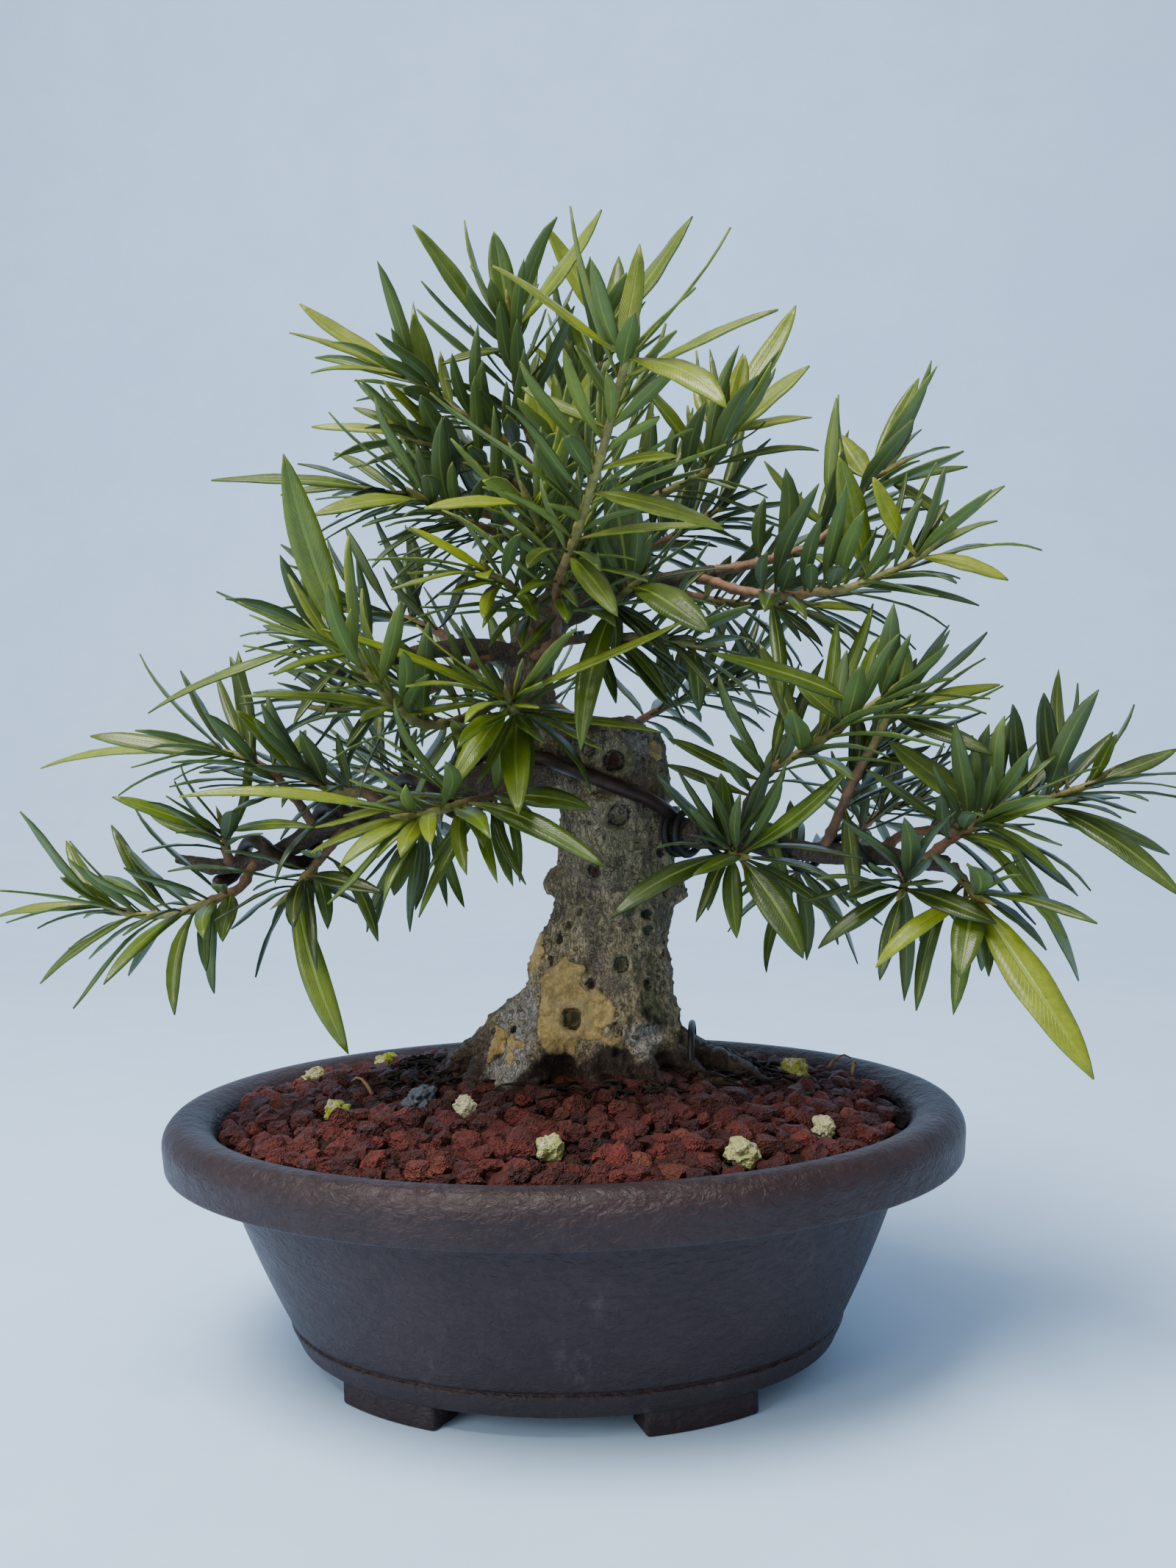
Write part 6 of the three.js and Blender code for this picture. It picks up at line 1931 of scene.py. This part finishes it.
# Litter round the foot of the trunk: where the dark root hairs lie, from x to x, from y to y, and
# how many, with their lengths and their radius at either end.
HAIR_PATCHES = ((-34, -13, -12, 16, 150), (24, 44, -6, 14, 60), (-6, 22, -20, -14, 22))
HAIR_SEED = 77
HAIR_LENGTHS = (4, 11)
HAIR_RADII = (0.42, 0.16)
HAIR_BROWN = (0.03, 0.02, 0.014)
# The dry root ends, as [x, y, heading, length].
DRY_ROOTS = ((57, 27, 0.6, 7), (62, 20, 1.3, 5.5), (-36, -14, 2.6, 6))
DRY_ROOT_TAN = (0.3, 0.17, 0.09)


def add_hair(bm, x, y, draw):
    """One dark hair lying bent on the soil, unless the wood covers it."""
    heading, length = next(draw) * 2 * math.pi, between(*HAIR_LENGTHS, next(draw))
    dark = between(0.25, 1, next(draw) ** 2)
    route = []
    for share in np.linspace(0, 1, 5):
        turn = heading + (next(draw) - 0.5) * 0.9
        px, py = x + math.cos(turn) * length * share, y + math.sin(turn) * length * share
        lift = 1.9 + 1.4 * math.sin(share * math.pi) * next(draw)
        route.append((px, py, soil_height(px, py) + lift, between(*HAIR_RADII, share)))
    if wood_depth(route[2][:3]) < 1.5:
        sweep(bm, route, 5, [[c * dark for c in HAIR_BROWN]] * 5)


class BONSAI_OT_litter(bpy.types.Operator):
    """Strew dark root hairs by the trunk and three dry root ends near the rim"""

    bl_idname = "bonsai.litter"
    bl_label = "Root hairs"

    def execute(self, context):
        draw = drawer(HAIR_SEED)
        bm = bmesh.new()
        bm.verts.layers.float_color.new("tint")
        for x_low, x_high, y_low, y_high, count in HAIR_PATCHES:
            for _ in range(count):
                add_hair(bm, between(x_low, x_high, next(draw)), between(y_low, y_high, next(draw)), draw)
        for x, y, way, length in DRY_ROOTS:
            route = []
            for share in np.linspace(0, 1, 5):
                px, py = x + math.cos(way) * length * share, y + math.sin(way) * length * share
                pz = soil_height(x, y) + 1.6 + 3 * math.sin(share * 2.4)
                route.append((px, py, pz, 0.42 * (1 - 0.6 * share)))
            sweep(bm, route, 6, [DRY_ROOT_TAN] * 5)
        bmesh.ops.recalc_face_normals(bm, faces=bm.faces)
        finish = Finish("root_hair")
        material = finish.done(
            Base_Color=finish.tinted(finish.mottled((1, 1, 1), 0.6, 0.6, 1.3)),
            Roughness=0.75,
            Specular_IOR_Level=0.15,
            Normal=finish.raised(finish.cloud(1.8, 4, 0.6), 0.8, 0.2),
        )
        finish_piece("root_hairs", bm, [material])
        return {"FINISHED"}


# The stage, in metres.
class StageSettings(bpy.types.PropertyGroup):
    backdrop: colour_setting("Backdrop", "the floor and the wall", (0.52, 0.72, 1.0))
    key: number_setting("Key light", "Power of the large soft light in watts", 31.0, min=0, unit="POWER")
    fill: number_setting("Fill light", "Power of the light at the left front in watts", 5.5, min=0, unit="POWER")
    ambient: number_setting("Ambient light", "Strength of the light from all round", 0.52, min=0)


BACKDROP_HALF_WIDTH = 3.2
BACKDROP_FRONT = -1.6
BACKDROP_LENGTH = 3.8
BEND_START, BEND_RADIUS = 0.55, 0.5
SKY = (0.95, 0.97, 1, 1)
# The lights, as [place, what it lights, size, colour].
KEY_LIGHT = ((-0.3, -0.45, 1.3), (0, 0, 0.13), 0.75, (1, 0.98, 0.93))
FILL_LIGHT = ((-0.72, -0.72, 0.42), (0, 0, 0.1), 0.55, (1, 0.97, 0.93))
# The camera, in millimetres from the middle of the pot's foot.
CAMERA_PLACE = (38.97, -273.42, 121.39)
CAMERA_RIGHT = (0.99328, 0.11167, -0.03036)
CAMERA_UP = (0.02855, 0.01779, 0.99943)
CAMERA_LENS = 30.38


def backdrop_mesh():
    """A floor that bends up into a wall."""
    bm = bmesh.new()
    bmesh.ops.create_grid(bm, x_segments=24, y_segments=60, size=1)
    for v in bm.verts:
        along = (v.co.y + 1) / 2 * BACKDROP_LENGTH + BACKDROP_FRONT
        turn = min(max((along - BEND_START) / BEND_RADIUS, 0), math.pi / 2)
        climb = max(0, along - BEND_START - BEND_RADIUS * math.pi / 2)
        v.co.x *= BACKDROP_HALF_WIDTH
        v.co.y = min(along, BEND_START) + BEND_RADIUS * math.sin(turn)
        v.co.z = BEND_RADIUS * (1 - math.cos(turn)) + climb
    return mesh_of(bm, "backdrop")


def backdrop_material(settings):
    finish = Finish("plaster")
    light = rgba([min(1, c * 1.02) for c in settings.backdrop])
    tone = finish.mottle(0.012, rgba(settings.backdrop, 0.96), light)
    bumps = finish.raised(finish.cloud(0.08, 5, 0.6), 0.25, 0.6)
    return finish.done(Base_Color=tone, Roughness=0.9, Normal=bumps)


def add_area_light(name, power, place, target, size, colour):
    light = bpy.data.lights.new(name, "AREA")
    light.shape, light.size, light.energy, light.color = "DISK", size, power, colour
    lamp = bpy.data.objects.new(name, light)
    lamp.location = place
    lamp.rotation_euler = (Vector(target) - Vector(place)).to_track_quat("-Z", "Y").to_euler()
    bpy.context.scene.collection.objects.link(lamp)


class BONSAI_OT_stage(bpy.types.Operator):
    """Set up the pale floor and wall, the soft lights and the camera"""

    bl_idname = "bonsai.stage"
    bl_label = "Stage"

    def execute(self, context):
        settings = context.scene.bonsai_stage
        mesh = backdrop_mesh()
        mesh.materials.append(backdrop_material(settings))
        mesh.polygons.foreach_set("use_smooth", [True] * len(mesh.polygons))
        backdrop = bpy.data.objects.new("backdrop", mesh)
        context.scene.collection.objects.link(backdrop)
        backdrop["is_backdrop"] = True
        add_area_light("key_light", settings.key, *KEY_LIGHT)
        add_area_light("fill_light", settings.fill, *FILL_LIGHT)
        world = bpy.data.worlds.new("soft_room")
        context.scene.world = world
        world.use_nodes = True
        world.node_tree.nodes["Background"].inputs["Color"].default_value = SKY
        world.node_tree.nodes["Background"].inputs["Strength"].default_value = settings.ambient
        lens = bpy.data.cameras.new("camera")
        lens.sensor_fit, lens.sensor_width, lens.lens, lens.clip_start = "AUTO", 36, CAMERA_LENS, 0.01
        camera = bpy.data.objects.new("camera", lens)
        context.scene.collection.objects.link(camera)
        right, up = Vector(CAMERA_RIGHT), Vector(CAMERA_UP)
        turn = Matrix((right, up, right.cross(up))).transposed().to_4x4()
        camera.matrix_world = Matrix.Translation(Vector(CAMERA_PLACE) * MM + POT_MIDDLE) @ turn
        context.scene.camera = camera
        return {"FINISHED"}


# The panel and the run.
SETTINGS = {
    "bonsai_pot": PotSettings,
    "bonsai_soil": SoilSettings,
    "bonsai_loose": LooseGrainSettings,
    "bonsai_wood": WoodSettings,
    "bonsai_wires": WireSettings,
    "bonsai_leaves": LeafSettings,
    "bonsai_stage": StageSettings,
}
PIECES = (
    ("pot", BONSAI_OT_pot, "bonsai_pot"),
    ("soil", BONSAI_OT_soil, "bonsai_soil"),
    ("loose_grains", BONSAI_OT_loose_grains, "bonsai_loose"),
    ("wood", BONSAI_OT_wood, "bonsai_wood"),
    ("wires", BONSAI_OT_wires, "bonsai_wires"),
    ("shoots", BONSAI_OT_shoots, "bonsai_leaves"),
    ("litter", BONSAI_OT_litter, None),
    ("stage", BONSAI_OT_stage, "bonsai_stage"),
)


class BONSAI_PT_panel(bpy.types.Panel):
    """The pieces of the tree, each with its sizes and colours"""

    bl_idname = "BONSAI_PT_panel"
    bl_label = "Small tree"
    bl_space_type = "VIEW_3D"
    bl_region_type = "UI"
    bl_category = "Small tree"

    def draw(self, context):
        for _, operator, settings in PIECES:
            box = self.layout.box()
            box.operator(operator.bl_idname)
            if settings:
                group = getattr(context.scene, settings)
                for key in SETTINGS[settings].__annotations__:
                    box.prop(group, key)


CLASSES = (*SETTINGS.values(), *(operator for _, operator, _ in PIECES), BONSAI_PT_panel)


def register():
    for cls in CLASSES:
        bpy.utils.register_class(cls)
    for name, cls in SETTINGS.items():
        setattr(bpy.types.Scene, name, PointerProperty(type=cls))


def unregister():
    for name in SETTINGS:
        delattr(bpy.types.Scene, name)
    for cls in reversed(CLASSES):
        bpy.utils.unregister_class(cls)


def main():
    register()
    for name, _, _ in PIECES:
        getattr(bpy.ops.bonsai, name)()
    boxes = {"solids": CAD_BOX, "visual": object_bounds()}
    plain = {name: [[float(c) for c in corner] for corner in box] for name, box in boxes.items()}


if __name__ == "__main__":
    main()
